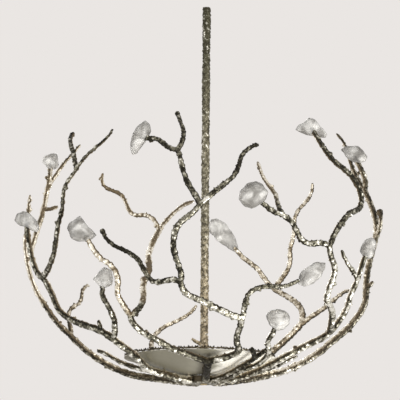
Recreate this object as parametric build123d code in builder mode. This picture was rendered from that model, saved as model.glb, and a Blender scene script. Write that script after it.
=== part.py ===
from build123d import *
import math
import os

# Chandelier: a nest of cast branches round a stem, with rock crystals on the twigs and a lamp pan.
# Sizes are in millimetres. +Z is up and the origin is the middle of the stem's top end.

# Whole light
nest_radius = 438.0
nest_half_height = 360.0
nest_drop = 593.0
running_gap = 0.3
thread_gap = 0.1
pin_gap = 0.1
tenon_gap = 0.15
bush_gap = 0.1
cut_overrun = 2.0

# Branch thickness, as radii
root_radius = 9.0
trunk_radius = 8.0
bough_radius = 7.6
branch_radius = 6.3
twig_radius = 5.2
tip_radius = 3.8
fine_tip_radius = 2.6
root_length = 24.0
knot_share = 0.09
knot_turn = math.radians(137.508)
blunt_share = 0.7
fork_share = 0.88
section_spacing = 15.0

# Hub that holds the branches
hub_radius = 34.0
hub_height = 19.0
hub_edge = 2.5
tenon_radius = 3.6
tenon_length = 10.0
set_screw_radius = 2.0
set_screw_socket = 1.0
set_screw_circle = 29.0
set_screw_sunk = 0.5

# Threaded tube through the hub, the pan and the stem's foot
tie_radius = 5.0
tie_bore_radius = 3.5
nut_radius = 8.5
nut_height = 8.0
nut_recess = 6.0
nut_wall = 2.0
nut_edge = 1.0
tie_proud = 2.0

# Stem
stem_radius = 10.0
stem_bore_radius = 7.5
stem_swell = 0.5
bush_height = 20.0
top_thread_radius = 5.0
stub_rise = 83.0
stub_tilt_degrees = 32.0
stub_length = 28.0
stub_radius = 5.0
stub_end_radius = 4.0

# Pan
pan_radius = 186.0
pan_depth = 42.0
pan_wall = 1.5
pan_flange = 7.0
pan_shift = -10.0
washer_radius = 28.0
washer_height = 1.0
rim_width = 6.0
rim_height = 6.5

# Lamp carrier
carrier_radius = 24.0
carrier_height = 2.0
carrier_arm_width = 22.0
spacer_radius = 12.0
spacer_height = 11.0
lamp_count = 4
lamp_circle_radius = 56.0

# Lampholders and lamps
holder_radius = 8.5
holder_height = 19.0
holder_below = 4.2
holder_flange_radius = 14.0
holder_flange_height = 2.0
socket_radius = 6.5
socket_depth = 6.0
pin_hole_depth = 9.0
lamp_base_radius = 6.0
lamp_base_height = 11.0
lamp_glass_radius = 6.8
lamp_glass_height = 29.0
lamp_pin_radius = 1.2
lamp_pin_length = 7.5
lamp_pin_spacing = 9.0
screw_radius = 1.5
screw_head_radius = 2.4
screw_head_height = 1.8
holder_screw_circle = 11.2
glass_round_share = 0.92
earth_screw_reach = 18.0

# Wiring
cable_radius = 3.0
cable_bend = 12.0
window_radius = 5.6
window_rise = 31.0
grommet_wall = 0.9
grommet_lip = 1.2
block_length = 20.0
block_width = 14.0
block_height = 12.0
block_reach = 29.0
block_screw_shift = 4.0
cable_top_gap = 5.0
grommet_gap = 0.2
lead_radius = 1.2
lead_bend = 8.0

# Rock crystals
crystal_length = 100.0
crystal_cuts = 26
crystal_rough_share = 0.12
cut_turn = math.radians(137.508)
rough_turn = math.radians(418.0)
crystal_pin_radius = 1.5
crystal_pin_length = 20.0
crystal_seat_gap = 1.6

# How the photograph shows the nest: pixels, angles and shares of the nest's radius
view_axis_px = 204.9
view_level_px = 236.0
view_radius_px = 176.0
view_rise_degrees = 11.0
view_roll_degrees = 0.45
view_distance_share = 10.0
view_height_share = 0.822
view_shift_share = -0.024

# Levels worked out from the sizes above
nest_centre_z = -nest_drop
hub_z = nest_centre_z - nest_half_height
hub_top_z = hub_z + hub_height / 2
hub_bottom_z = hub_z - hub_height / 2
pan_z = hub_top_z + washer_height
floor_z = pan_z + pan_wall
carrier_z = floor_z + spacer_height
carrier_top_z = carrier_z + carrier_height
window_z = carrier_top_z + window_rise


def nest_place(pixel_x, pixel_y, depth, back_share=0):
    """Return the nest's point at a pixel: depth -1 is the near wall, 1 the far one, then set back."""
    rise = math.radians(view_rise_degrees)
    roll = math.radians(view_roll_degrees)
    seen_x = (pixel_x - view_axis_px) / view_radius_px
    seen_z = (view_level_px - pixel_y) / view_radius_px
    across = seen_x * math.cos(roll) - seen_z * math.sin(roll)
    up = seen_x * math.sin(roll) + seen_z * math.cos(roll)
    eye = Vector(0, -view_distance_share * math.cos(rise), -view_distance_share * math.sin(rise))
    plane_point = Vector(across, -up * math.sin(rise), up * math.cos(rise))
    ray = plane_point - eye
    eye_unit = Vector(eye.X - view_shift_share, eye.Y, eye.Z / view_height_share)
    ray_unit = Vector(ray.X, ray.Y, ray.Z / view_height_share)
    square = ray_unit.dot(ray_unit)
    middle = -eye_unit.dot(ray_unit) / square
    inside = middle * middle - (eye_unit.dot(eye_unit) - 1) / square
    step = middle + depth * math.sqrt(max(inside, 0)) + back_share / view_distance_share
    seen = eye + ray * step
    return Vector(
        seen.X * nest_radius,
        seen.Y * nest_radius,
        seen.Z / view_height_share * nest_half_height + nest_centre_z,
    )


def hub_place(azimuth, reach, height=0):
    """Return a point beside the hub, at an azimuth from +X and a distance from the stem's axis."""
    turn = math.radians(azimuth)
    return Vector(reach * math.cos(turn), reach * math.sin(turn), hub_z + height)


# Branches of each casting. A branch starts at the hub, with its azimuth in degrees, or at a point
# of an earlier branch, with that branch's name and the point's number. Then come its first and last
# radius, its first and last depth in the nest, the crystal it carries, and its course in pixels,
# where a third number sets a point back from the viewer by that share of the nest's radius.
castings = {
    "limb_outer_left": [
        ("bough", 152, root_radius, tip_radius, 0.3, 0.1, None, [
            (166, 379.5), (140, 376.5), (121, 371), (108.4, 365), (94.4, 356.5), (81.6, 346.5),
            (71.4, 336.5), (63.8, 329.5), (54.8, 319.5), (48.5, 310.5), (42, 300.6), (36, 290.4),
            (31, 277.4), (27, 262), (25.3, 248), (25.5, 235), (27.5, 221), (28.7, 208), (30, 195)]),
        ("inner_twig", ("bough", 8), twig_radius, tip_radius, 0.15, 0.5, None, [
            (69.5, 322), (69.3, 311), (80.4, 301.6), (82, 293), (87.4, 285)]),
        ("back_branch", ("bough", 15), branch_radius, twig_radius, 0.1, 0.7, "crystal_left_back", [
            (32.5, 246), (37, 231), (43.4, 209.7), (47.2, 189.3), (50, 174)]),
        ("back_spur", ("back_branch", 3), twig_radius, tip_radius, 0.4, 0.3, None, [
            (51, 208.7), (58, 206.5)]),
        ("back_twig", ("back_branch", 4), twig_radius, fine_tip_radius, 0.6, 0.8, None, [
            (54.8, 176.5), (63.8, 163.8), (72.7, 153.6), (80.4, 144.6)]),
    ],
    "limb_front_left": [
        ("bough", 205, root_radius, branch_radius, -1, -1, None, [
            (166, 374.5), (150.5, 370), (140, 361), (131, 352), (121, 345), (113, 338.6),
            (102, 331.5), (86, 325.6), (71.4, 319.5), (60, 311), (54, 299), (49, 288), (42, 277)]),
        ("high_branch", ("bough", 14), branch_radius, fine_tip_radius, -1, -0.9, None, [
            (50, 265), (55, 247), (58, 226), (62.5, 206), (63.5, 192), (68, 181), (76, 170),
            (84, 158), (95, 148), (113.5, 128.7)]),
        ("high_twig", ("high_branch", 7), twig_radius, tip_radius, -0.95, -0.8, None, [
            (73.5, 154), (70.5, 143), (73.3, 133)]),
        ("rim_branch", ("bough", 14), branch_radius, twig_radius, -1, -0.8, "crystal_left_rim", [
            (36.5, 271), (31.5, 256), (28.8, 241)]),
        ("low_twig", ("bough", 7), branch_radius, twig_radius, -1, -0.9, "crystal_left_low", [
            (115, 329), (112.5, 315), (107, 304), (102, 294)]),
        ("low_spur", ("bough", 8), twig_radius, tip_radius, -1, -0.9, None, [(98, 320)]),
        ("root_spur", ("bough", 3), branch_radius, tip_radius, -1, -0.9, None, [
            (132.7, 366.7), (118.6, 361), (108.4, 355), (97.6, 350.7)]),
    ],
    "limb_front_centre": [
        ("trunk", 275, root_radius, trunk_radius, -1, -1, None, [
            (206.5, 371), (207.5, 366), (209, 361.5)]),
        ("left_bough", ("trunk", 4), bough_radius, branch_radius, -1, -1, None, [
            (200, 359), (187, 354), (172, 348.5), (160, 341.5), (147, 335), (136, 326.5),
            (130, 316)]),
        ("left_branch", ("left_bough", 7), branch_radius, twig_radius, -1, -0.9, "crystal_left_front", [
            (123, 304.5), (117.5, 294), (118, 280), (112.5, 267), (102, 259), (93.5, 250)]),
        ("inner_branch", ("left_bough", 7), branch_radius, branch_radius, -1, -0.1, None, [
            (140, 307), (143.5, 296), (143.5, 284), (149, 270), (148.5, 257), (153, 242),
            (158.8, 231.5)]),
        ("inner_left", ("inner_branch", 7), twig_radius, tip_radius, -0.1, 0.3, None, [
            (154, 220), (145, 215), (133, 214.5), (126.5, 204.5), (121, 194.5), (106.5, 188),
            (102.7, 173.3)]),
        ("inner_right", ("inner_branch", 7), twig_radius, tip_radius, -0.1, 0.35, None, [
            (166, 221), (179, 208.5), (193.5, 201.4)]),
        ("right_bough", ("trunk", 4), bough_radius, branch_radius, -1, -1, None, [
            (224, 357.5), (238, 352), (236.5, 341), (239, 330.5), (242, 318)]),
        ("cross_branch", ("right_bough", 5), bough_radius, branch_radius, -1, -1, None, [
            (228, 313.5), (214, 307), (200, 300), (187, 294), (181, 282.5)]),
        ("cross_left", ("cross_branch", 5), branch_radius, tip_radius, -1, -0.9, None, [
            (168, 280), (153, 281.5), (144.5, 271), (138, 259.5), (122.4, 249.5), (110, 242.5),
            (102, 230)]),
        ("rising_branch", ("cross_branch", 5), branch_radius, branch_radius, -1, -1, None, [
            (179, 266), (174, 251), (173.7, 237), (179, 224), (190, 214.5), (200, 204.5)]),
        ("high_left", ("rising_branch", 6), branch_radius, twig_radius, -1, -1, None, [
            (193.5, 192.5), (186, 179), (182, 165), (177.3, 149.7)]),
        ("high_left_twig", ("high_left", 4), twig_radius, twig_radius, -1, -1, "crystal_top_left", [
            (165, 145), (156, 138.5)]),
        ("high_spike", ("high_left", 4), twig_radius, tip_radius, -1, -1, None, [
            (183.5, 136), (181, 123), (177.3, 112.8)]),
        ("high_right", ("rising_branch", 6), branch_radius, tip_radius, -1, -1, None, [
            (213, 193), (227, 182), (237, 171), (241, 157.5), (248, 149), (258, 144.6)]),
        ("right_twig", ("right_bough", 5), branch_radius, tip_radius, -1, -0.9, "crystal_right_mid", [
            (245, 305), (249, 293.5), (262, 287), (278, 286.5), (290, 284.5)]),
    ],
    "limb_front_fork": [
        ("stalk", 304, twig_radius, twig_radius, -1, -1, None, [
            (233, 371), (246, 363.5), (255, 358)]),
        ("left_prong", ("stalk", 4), twig_radius, twig_radius, -1, -1, None, [(252, 348)]),
        ("right_prong", ("stalk", 4), twig_radius, twig_radius, -1, -1, None, [(266, 349.5)]),
    ],
    "limb_front_right": [
        ("bough", 326, branch_radius, twig_radius, -1, -1, "crystal_right_low", [
            (243, 369.5, -0.02), (256, 365, -0.03), (264, 359.5, -0.03), (269, 350, -0.02),
            (268, 341), (272.5, 334)]),
    ],
    "limb_mid_right": [
        ("bough", 352, trunk_radius, bough_radius, -1, -1, None, [
            (254, 372), (270, 364.5), (289, 354.5), (308.4, 344.5), (320, 339), (329, 333)]),
        ("root_spur", ("bough", 2), branch_radius, tip_radius, -1, -0.97, None, [
            (268, 369, -0.01), (283, 362.5, -0.04), (297, 356.5, -0.07)]),
        ("silver_branch", ("bough", 7), bough_radius, branch_radius, -1, -1, None, [
            (332, 319), (331, 308), (327, 297.5), (331.5, 283), (335, 270.5), (332, 259),
            (329.5, 246.8)]),
        ("high_branch", ("silver_branch", 7), branch_radius, twig_radius, -1, -1, "crystal_top_right", [
            (334.5, 234.5), (342, 222), (350, 213), (360.5, 206.5), (361, 195), (355.5, 182),
            (345, 170), (334.5, 161.5), (326, 151.5), (320, 142)]),
        ("inner_branch", ("silver_branch", 7), branch_radius, twig_radius, -1, -0.9,
         "crystal_right_inner", [
             (319, 243), (308, 243.5), (299.5, 236), (294, 225.5), (284, 215.5), (272, 211)]),
        ("inner_twig", ("inner_branch", 5), twig_radius, fine_tip_radius, -0.92, -0.3, None, [
            (278, 205), (274.5, 193), (264.5, 179.5), (260, 168.5), (257.4, 161.9)]),
        ("low_branch", ("bough", 7), bough_radius, twig_radius, -1, -0.8, "crystal_right_rim", [
            (339, 321), (346.5, 309), (350.5, 295), (357, 281), (361, 268)]),
        ("low_twig", ("low_branch", 4), twig_radius, tip_radius, -0.85, -0.7, None, [
            (351.5, 269), (345.5, 260), (341.6, 250.6)]),
    ],
    "limb_outer_right": [
        ("bough", 22, root_radius, branch_radius, 0.3, 0.2, None, [
            (254.8, 377.5), (283, 371.3), (302, 363), (321, 351), (334, 340), (346.7, 329.5),
            (358, 316), (365, 303), (366, 289), (367.5, 272), (371, 256), (375, 240), (376, 224),
            (372, 208), (364.5, 190)]),
        ("right_strand", ("bough", 16), branch_radius, twig_radius, 0.2, 0.2, "crystal_right_back", [
            (364.5, 178), (360.5, 168)]),
        ("left_strand", ("bough", 16), branch_radius, fine_tip_radius, 0.2, 0.8, None, [
            (356.5, 177, 0.04), (351, 164, 0.09), (346, 147, 0.1), (336.5, 133.8, 0.08)]),
        ("low_spur", ("bough", 10), twig_radius, tip_radius, 0.2, 0.1, None, [(373, 282)]),
        ("knob_twig", ("bough", 13), twig_radius, twig_radius, 0.2, 0.2, None, [
            (380.5, 223), (380.3, 212)]),
    ],
    "limb_back_right": [
        ("bough", 54, root_radius, bough_radius, 1, 1, None, [
            (250, 374), (262, 361), (274.5, 350), (288, 338), (300.8, 325)]),
        ("high_branch", ("bough", 6), bough_radius, branch_radius, 1, 1, None, [
            (300, 307), (288, 297), (274, 289)]),
        ("left_branch", ("high_branch", 3), branch_radius, twig_radius, 1, 1, "crystal_centre", [
            (264, 278), (255, 266.5), (243, 257.5)]),
        ("right_branch", ("high_branch", 3), branch_radius, tip_radius, 1, 1, None, [
            (283, 277), (290, 263), (290, 249), (294, 234), (295, 217), (305.5, 202.5),
            (311, 194), (312.2, 183.5)]),
        ("side_branch", ("bough", 6), branch_radius, tip_radius, 1, 1, None, [
            (314.8, 314.4), (326, 307), (339, 295.5), (350.5, 291.4)]),
    ],
    "limb_back_left": [
        ("bough", 112, root_radius, tip_radius, 1, 1, None, [
            (168, 374.5), (158, 361), (151.5, 347), (157, 332.5), (168, 325), (180, 319.5),
            (196.4, 305.5)]),
    ],
}

# Rock crystals: middle in pixels, turn of the long axis in degrees, then shares of the crystal
# length: length, width, thickness, reach of a flat face, and distance of the twig's end.
crystals = {
    "crystal_left_rim": ((27, 221), -25, 0.70, 0.42, 0.54, -0.12, 0.05),
    "crystal_left_back": ((50.5, 161.5), 0, 0.46, 0.42, 0.42, 0.3, 0.1),
    "crystal_centre": ((223.5, 235.5), -47, 1.04, 0.46, 0.44, 0.5, 0.4),
    "crystal_left_front": ((81.5, 229), -48, 0.68, 0.56, 0.52, 0.2, 0.18),
    "crystal_left_low": ((103, 277.5), -15, 0.56, 0.52, 0.44, 0.3, 0.15),
    "crystal_top_left": ((140.5, 138), 67, 0.95, 0.38, 0.62, 0.3, 0.08),
    "crystal_right_mid": ((311, 274), 40, 0.88, 0.44, 0.44, 0.5, 0.34),
    "crystal_top_right": ((311, 127.5), -12, 0.84, 0.46, 0.48, -0.16, 0.06),
    "crystal_right_back": ((353.5, 154.5), -16, 0.7, 0.42, 0.54, -0.14, 0.06),
    "crystal_right_inner": ((252.5, 195), 60, 0.74, 0.68, 0.58, 0.5, 0.24),
    "crystal_right_low": ((279, 319.5), -20, 0.64, 0.52, 0.5, 0.5, 0.15),
    "crystal_right_rim": ((367.5, 249), 70, 0.54, 0.42, 0.44, 0.5, 0.12),
}


def branch_points(start, first_depth, last_depth, pixels, drawn):
    """Return the points of a branch's middle line, from the hub or from an earlier branch."""
    if isinstance(start, tuple):
        points = [drawn[start[0]][start[1]]]
    else:
        rim = hub_radius + running_gap
        points = [hub_place(start, rim), hub_place(start, rim + root_length)]
    for number, place in enumerate(pixels):
        share = (number + 1) / len(pixels)
        depth = first_depth + (last_depth - first_depth) * share
        points.append(nest_place(place[0], place[1], depth, *place[2:]))
    return points


def branch_sections(points, first_radius, last_radius, tip, forked, blunt):
    """Return evenly spaced planes and radii along a branch, up to its crystal's seat if it has one."""
    course_points = points if tip is None else [*points, (points[-1] + tip) / 2, tip]
    first_heading = points[1] - points[0]
    last_heading = course_points[-1] - course_points[-2]
    with BuildLine() as course:
        Spline(*course_points)
    middle_line = course.edges()[0]
    count = max(math.ceil(middle_line.length / section_spacing), 3)
    side = Vector(1, 1, 1)
    sections = []
    for number in range(count + 1):
        share = number / count
        reach = share * middle_line.length
        point = middle_line.position_at(reach, position_mode=PositionMode.LENGTH)
        heading = middle_line.tangent_at(reach, position_mode=PositionMode.LENGTH)
        if number == 0:
            heading = first_heading.normalized()
        if number == count:
            heading = last_heading.normalized()
        knot = 1 + knot_share * math.sin(number * knot_turn + count) * math.sin(math.pi * share)
        radius = (first_radius + (last_radius - first_radius) * share) * knot
        if forked and number == 0:
            radius = first_radius * fork_share
        if blunt and number == count:
            radius = last_radius * blunt_share
        side = (side - heading * side.dot(heading)).normalized()
        sections.append((Plane(origin=point, x_dir=side, z_dir=heading), radius))
    return sections


# Every branch's points and sections, each limb's azimuth, and where each crystal sits
limb_sections = {}
root_azimuths = []
crystal_seats = {}
for limb_name, branches in castings.items():
    drawn = {}
    limb_sections[limb_name] = []
    forks = [row[1] for row in branches]
    for name, start, first_radius, last_radius, first_depth, last_depth, crystal, pixels in branches:
        points = branch_points(start, first_depth, last_depth, pixels, drawn)
        drawn[name] = points
        tip = None
        if not isinstance(start, tuple):
            root_azimuths.append((limb_name, start))
        if crystal is not None:
            middle_px = crystals[crystal][0]
            middle = nest_place(middle_px[0], middle_px[1], last_depth)
            heading = (points[-1] - middle).normalized()
            tip = middle + heading * (crystals[crystal][6] * crystal_length)
            crystal_seats[crystal] = (limb_name, middle, tip, heading, last_radius)
        blunt = tip is None and (name, len(points) - 1) not in forks
        limb_sections[limb_name].append(
            branch_sections(points, first_radius, last_radius, tip, isinstance(start, tuple), blunt)
        )


os.makedirs("parts", exist_ok=True)

# Limb castings: lofted branches, a tenon for the hub and bores for the crystals' pins
limbs = []
for limb_name, branches in limb_sections.items():
    with BuildPart() as limb:
        for sections in branches:
            for plane, radius in sections:
                with BuildSketch(plane):
                    Circle(radius)
            loft(ruled=True)
        for root_name, azimuth in root_azimuths:
            if root_name == limb_name:
                tenon_start = hub_place(azimuth, hub_radius + tenon_length)
                inward = hub_place(azimuth, 0) - tenon_start
                with BuildSketch(Plane(origin=tenon_start, z_dir=inward)):
                    Circle(tenon_radius)
                extrude(amount=2 * tenon_length - running_gap)
        for seat_limb, middle, tip, heading, end_radius in crystal_seats.values():
            if seat_limb == limb_name:
                with BuildSketch(Plane(origin=tip, z_dir=heading)):
                    Circle(crystal_pin_radius + pin_gap)
                extrude(amount=crystal_pin_length / 2, mode=Mode.SUBTRACT)
    limb.part.label = limb_name
    limbs.append(limb)

# Rock crystals: rough stones cut flat all round, each drilled for its pin and seated on its twig
stones = []
for crystal_name, (seat_limb, middle, tip, heading, end_radius) in crystal_seats.items():
    middle_px, turn, length_share, width_share, thick_share, flat_share, tip_share = crystals[crystal_name]
    turn = math.radians(turn)
    along = Vector(math.cos(turn), 0, math.sin(turn))
    across = Vector(-math.sin(turn), 0, math.cos(turn))
    through = along.cross(across)
    half_length = crystal_length * length_share / 2
    half_width = crystal_length * width_share / 2
    half_thick = crystal_length * thick_share / 2
    with BuildPart(Plane(origin=middle, x_dir=along, z_dir=through)) as stone:
        Box(crystal_length * length_share, crystal_length * width_share, crystal_length * thick_share)
        for number in range(crystal_cuts):
            high = 1 - (2 * number + 1) / crystal_cuts
            round_turn = number * cut_turn + len(crystal_name)
            flat_x = math.sqrt(1 - high * high) * math.cos(round_turn)
            flat_y = math.sqrt(1 - high * high) * math.sin(round_turn)
            reach = math.hypot(flat_x * half_length, flat_y * half_width, high * half_thick)
            reach = reach * (1 - crystal_rough_share * (1 + math.sin(number * rough_turn)) / 2)
            normal = along * flat_x + across * flat_y + through * high
            split(bisect_by=Plane(origin=middle + normal * reach, z_dir=normal), keep=Keep.BOTTOM)
        flat_normal = across * math.copysign(1, flat_share)
        flat_point = middle + across * (flat_share * crystal_length)
        split(bisect_by=Plane(origin=flat_point, z_dir=flat_normal), keep=Keep.BOTTOM)
        with BuildSketch(Plane(origin=tip - heading * running_gap, z_dir=heading)):
            Circle(end_radius + crystal_seat_gap)
        extrude(amount=crystal_length, mode=Mode.SUBTRACT)
        with BuildSketch(Plane(origin=tip, z_dir=heading)):
            Circle(crystal_pin_radius + pin_gap)
        extrude(amount=-crystal_pin_length / 2 - running_gap, mode=Mode.SUBTRACT)
    stone.part.label = crystal_name
    stones.append(stone)

# Pins that hold the crystals, half in the twig and half in the stone
with BuildPart() as crystal_pins:
    for seat_limb, middle, tip, heading, end_radius in crystal_seats.values():
        with BuildSketch(Plane(origin=tip - heading * crystal_pin_length / 2, z_dir=heading)):
            Circle(crystal_pin_radius)
        extrude(amount=crystal_pin_length)
crystal_pins.part.label = "crystal_pins"

# Hub: a round boss with a socket for each limb, a bore for the tie tube and a recess for its nut
with BuildPart() as hub:
    with BuildSketch(Plane.XY.offset(hub_bottom_z)):
        Circle(hub_radius)
    extrude(amount=hub_height)
    chamfer(hub.edges().filter_by(GeomType.CIRCLE), length=hub_edge)
    with BuildSketch(Plane.XY.offset(hub_bottom_z)):
        Circle(tie_radius + thread_gap)
    extrude(amount=hub_height, mode=Mode.SUBTRACT)
    with BuildSketch(Plane.XY.offset(hub_bottom_z)):
        Circle(nut_radius + running_gap)
    extrude(amount=nut_recess, mode=Mode.SUBTRACT)
    for limb_name, azimuth in root_azimuths:
        socket_floor = hub_place(azimuth, hub_radius - tenon_length)
        outward = socket_floor - hub_place(azimuth, 0)
        with BuildSketch(Plane(origin=socket_floor, z_dir=outward)):
            Circle(tenon_radius + tenon_gap)
        extrude(amount=hub_radius, mode=Mode.SUBTRACT)
        screw_place = hub_place(azimuth, set_screw_circle)
        with BuildSketch(Plane.XY.offset(hub_bottom_z)):
            with Locations((screw_place.X, screw_place.Y)):
                Circle(set_screw_radius + thread_gap)
        extrude(amount=hub_height / 2, mode=Mode.SUBTRACT)
hub.part.label = "hub"

# Set screws under the hub, one for each limb's tenon
set_screw_length = hub_height / 2 - tenon_radius - set_screw_sunk
with BuildPart() as limb_set_screws:
    for limb_name, azimuth in root_azimuths:
        screw_place = hub_place(azimuth, set_screw_circle)
        with BuildSketch(Plane.XY.offset(hub_bottom_z + set_screw_sunk)):
            with Locations((screw_place.X, screw_place.Y)):
                Circle(set_screw_radius)
        extrude(amount=set_screw_length)
        with BuildSketch(Plane.XY.offset(hub_bottom_z + set_screw_sunk)):
            with Locations((screw_place.X, screw_place.Y)):
                RegularPolygon(radius=set_screw_socket, side_count=6)
        extrude(amount=set_screw_length / 2, mode=Mode.SUBTRACT)
limb_set_screws.part.label = "limb_set_screws"

# Cap nut that pulls the hub up against the pan and the stem's foot
nut_top_z = hub_bottom_z + nut_recess
tie_bottom_z = nut_top_z - nut_height + nut_wall
with BuildPart() as cap_nut:
    with BuildSketch(Plane.XY.offset(nut_top_z - nut_height)):
        RegularPolygon(radius=nut_radius, side_count=6)
    extrude(amount=nut_height)
    chamfer(cap_nut.faces().sort_by(Axis.Z)[0].edges(), length=nut_edge)
    with BuildSketch(Plane.XY.offset(tie_bottom_z)):
        Circle(tie_radius + thread_gap)
    extrude(amount=nut_height, mode=Mode.SUBTRACT)
cap_nut.part.label = "cap_nut"

# Tie tube: a threaded tube from the cap nut up into the stem's foot bush
tie_top_z = carrier_top_z + bush_height + tie_proud
with BuildPart() as tie_tube:
    with BuildSketch(Plane.XY.offset(tie_bottom_z + running_gap)):
        Circle(tie_radius)
        Circle(tie_bore_radius, mode=Mode.SUBTRACT)
    extrude(amount=tie_top_z - tie_bottom_z - running_gap)
tie_tube.part.label = "tie_tube"

# Washer between the hub and the pan
with BuildPart() as pan_washer:
    with BuildSketch(Plane.XY.offset(hub_top_z)):
        Circle(washer_radius)
        Circle(tie_radius + running_gap, mode=Mode.SUBTRACT)
    extrude(amount=washer_height)
pan_washer.part.label = "pan_washer"

# Pan: a shallow spun bowl with a turned-out flange, its hole a little off its middle
pan_slope_radius = pan_radius - pan_flange
pan_plane = Plane(origin=(pan_shift, 0, pan_z), x_dir=(1, 0, 0), z_dir=(0, -1, 0))
with BuildPart() as pan:
    with BuildSketch(pan_plane):
        with BuildLine():
            under = TangentArc((0, 0), (pan_slope_radius, pan_depth), tangent=(1, 0))
            under_flange = Line(under @ 1, (pan_radius, pan_depth))
            edge = Line(under_flange @ 1, (pan_radius, pan_depth + pan_wall))
            top_flange = Line(edge @ 1, (pan_slope_radius - pan_wall, pan_depth + pan_wall))
            inner = TangentArc((0, pan_wall), top_flange @ 1, tangent=(1, 0))
            Line(inner @ 0, under @ 0)
        make_face()
    revolve(axis=Axis((pan_shift, 0, 0), (0, 0, 1)))
    with BuildSketch(Plane.XY.offset(pan_z - cut_overrun)):
        Circle(tie_radius + running_gap)
    extrude(amount=pan_depth, mode=Mode.SUBTRACT)
pan.part.label = "pan"

# Rim ring on the pan's flange
rim_z = pan_z + pan_depth + pan_wall
with BuildPart() as pan_rim:
    with BuildSketch(Plane.XY.offset(rim_z)):
        with Locations((pan_shift, 0)):
            Circle(pan_radius)
            Circle(pan_radius - rim_width, mode=Mode.SUBTRACT)
    extrude(amount=rim_height)
    fillet(pan_rim.edges().group_by(Axis.Z)[-1], radius=rim_width / 3)
pan_rim.part.label = "pan_rim"

# Spacer that holds the lamp carrier clear of the pan's slope
pan_curve_radius = (pan_slope_radius ** 2 + pan_depth ** 2) / (2 * pan_depth)
slope_lift = (abs(pan_shift) + spacer_radius) ** 2 / (2 * pan_curve_radius)
with BuildPart() as carrier_spacer:
    with BuildSketch(Plane.XY.offset(floor_z + slope_lift)):
        Circle(spacer_radius)
        Circle(tie_radius + running_gap, mode=Mode.SUBTRACT)
    extrude(amount=spacer_height - slope_lift)
carrier_spacer.part.label = "carrier_spacer"

# Lamp carrier: a flat star with an arm for each lampholder and a tab for the terminal block
lamp_turns = [(number + 0.5) * 360 / lamp_count for number in range(lamp_count)]
lamp_places = PolarLocations(lamp_circle_radius, lamp_count, start_angle=lamp_turns[0])
holder_screw_places = [
    Vector(lamp_circle_radius, side * holder_screw_circle, 0).rotate(Axis.Z, turn)
    for turn in lamp_turns
    for side in (-1, 1)
]
with BuildPart() as lamp_carrier:
    with BuildSketch(Plane.XY.offset(carrier_z)):
        Circle(carrier_radius)
        with PolarLocations(lamp_circle_radius / 2, lamp_count, start_angle=lamp_turns[0]):
            Rectangle(lamp_circle_radius, carrier_arm_width)
        with lamp_places:
            Circle(holder_flange_radius)
        with Locations(((block_reach + block_width) / 2, 0)):
            Rectangle(block_reach, block_length)
        Circle(tie_radius + running_gap, mode=Mode.SUBTRACT)
        with lamp_places:
            Circle(holder_radius + running_gap, mode=Mode.SUBTRACT)
        with Locations(*holder_screw_places, (-earth_screw_reach, 0), (block_reach + block_screw_shift, 0)):
            Circle(screw_radius + thread_gap, mode=Mode.SUBTRACT)
    extrude(amount=carrier_height)
lamp_carrier.part.label = "lamp_carrier"

# Lampholders: a ceramic body through each arm, a flange on its top, a socket and two pin holes
holder_top_z = carrier_z - holder_below + holder_height
socket_floor_z = holder_top_z - socket_depth
holders = []
for number, turn in enumerate(lamp_turns):
    place = Vector(lamp_circle_radius, 0, 0).rotate(Axis.Z, turn)
    holder_plane = Plane(origin=place, x_dir=Vector(1, 0, 0).rotate(Axis.Z, turn), z_dir=(0, 0, 1))
    with BuildPart() as holder:
        with BuildSketch(holder_plane.offset(carrier_z - holder_below)):
            Circle(holder_radius)
        extrude(amount=holder_height)
        with BuildSketch(holder_plane.offset(carrier_top_z)):
            Circle(holder_flange_radius)
        extrude(amount=holder_flange_height)
        with BuildSketch(holder_plane.offset(socket_floor_z)):
            Circle(socket_radius)
        extrude(amount=socket_depth, mode=Mode.SUBTRACT)
        with BuildSketch(holder_plane.offset(socket_floor_z)):
            with GridLocations(lamp_pin_spacing, 0, 2, 1):
                Circle(lamp_pin_radius + running_gap)
        extrude(amount=-pin_hole_depth, mode=Mode.SUBTRACT)
        with BuildSketch(holder_plane.offset(carrier_top_z)):
            with GridLocations(0, 2 * holder_screw_circle, 1, 2):
                Circle(screw_radius + thread_gap)
        extrude(amount=holder_flange_height, mode=Mode.SUBTRACT)
    holder.part.label = f"lampholder_{number + 1}"
    holders.append(holder)

# Lamps: a ceramic cap with two pins, standing in the socket, and a round-ended glass on it
cap_top_z = socket_floor_z + lamp_base_height
lamp_caps = []
lamp_glasses = []
for number, turn in enumerate(lamp_turns):
    place = Vector(lamp_circle_radius, 0, 0).rotate(Axis.Z, turn)
    lamp_plane = Plane(origin=place, x_dir=Vector(1, 0, 0).rotate(Axis.Z, turn), z_dir=(0, 0, 1))
    with BuildPart() as cap:
        with BuildSketch(lamp_plane.offset(socket_floor_z)):
            Circle(lamp_base_radius)
        extrude(amount=lamp_base_height)
        with BuildSketch(lamp_plane.offset(socket_floor_z)):
            with GridLocations(lamp_pin_spacing, 0, 2, 1):
                Circle(lamp_pin_radius)
        extrude(amount=-lamp_pin_length)
    cap.part.label = f"lamp_cap_{number + 1}"
    lamp_caps.append(cap)
    with BuildPart() as glass:
        with BuildSketch(lamp_plane.offset(cap_top_z)):
            Circle(lamp_glass_radius)
        extrude(amount=lamp_glass_height)
        fillet(glass.faces().sort_by(Axis.Z)[-1].edges(), radius=lamp_glass_radius * glass_round_share)
    glass.part.label = f"lamp_glass_{number + 1}"
    lamp_glasses.append(glass)

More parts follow.
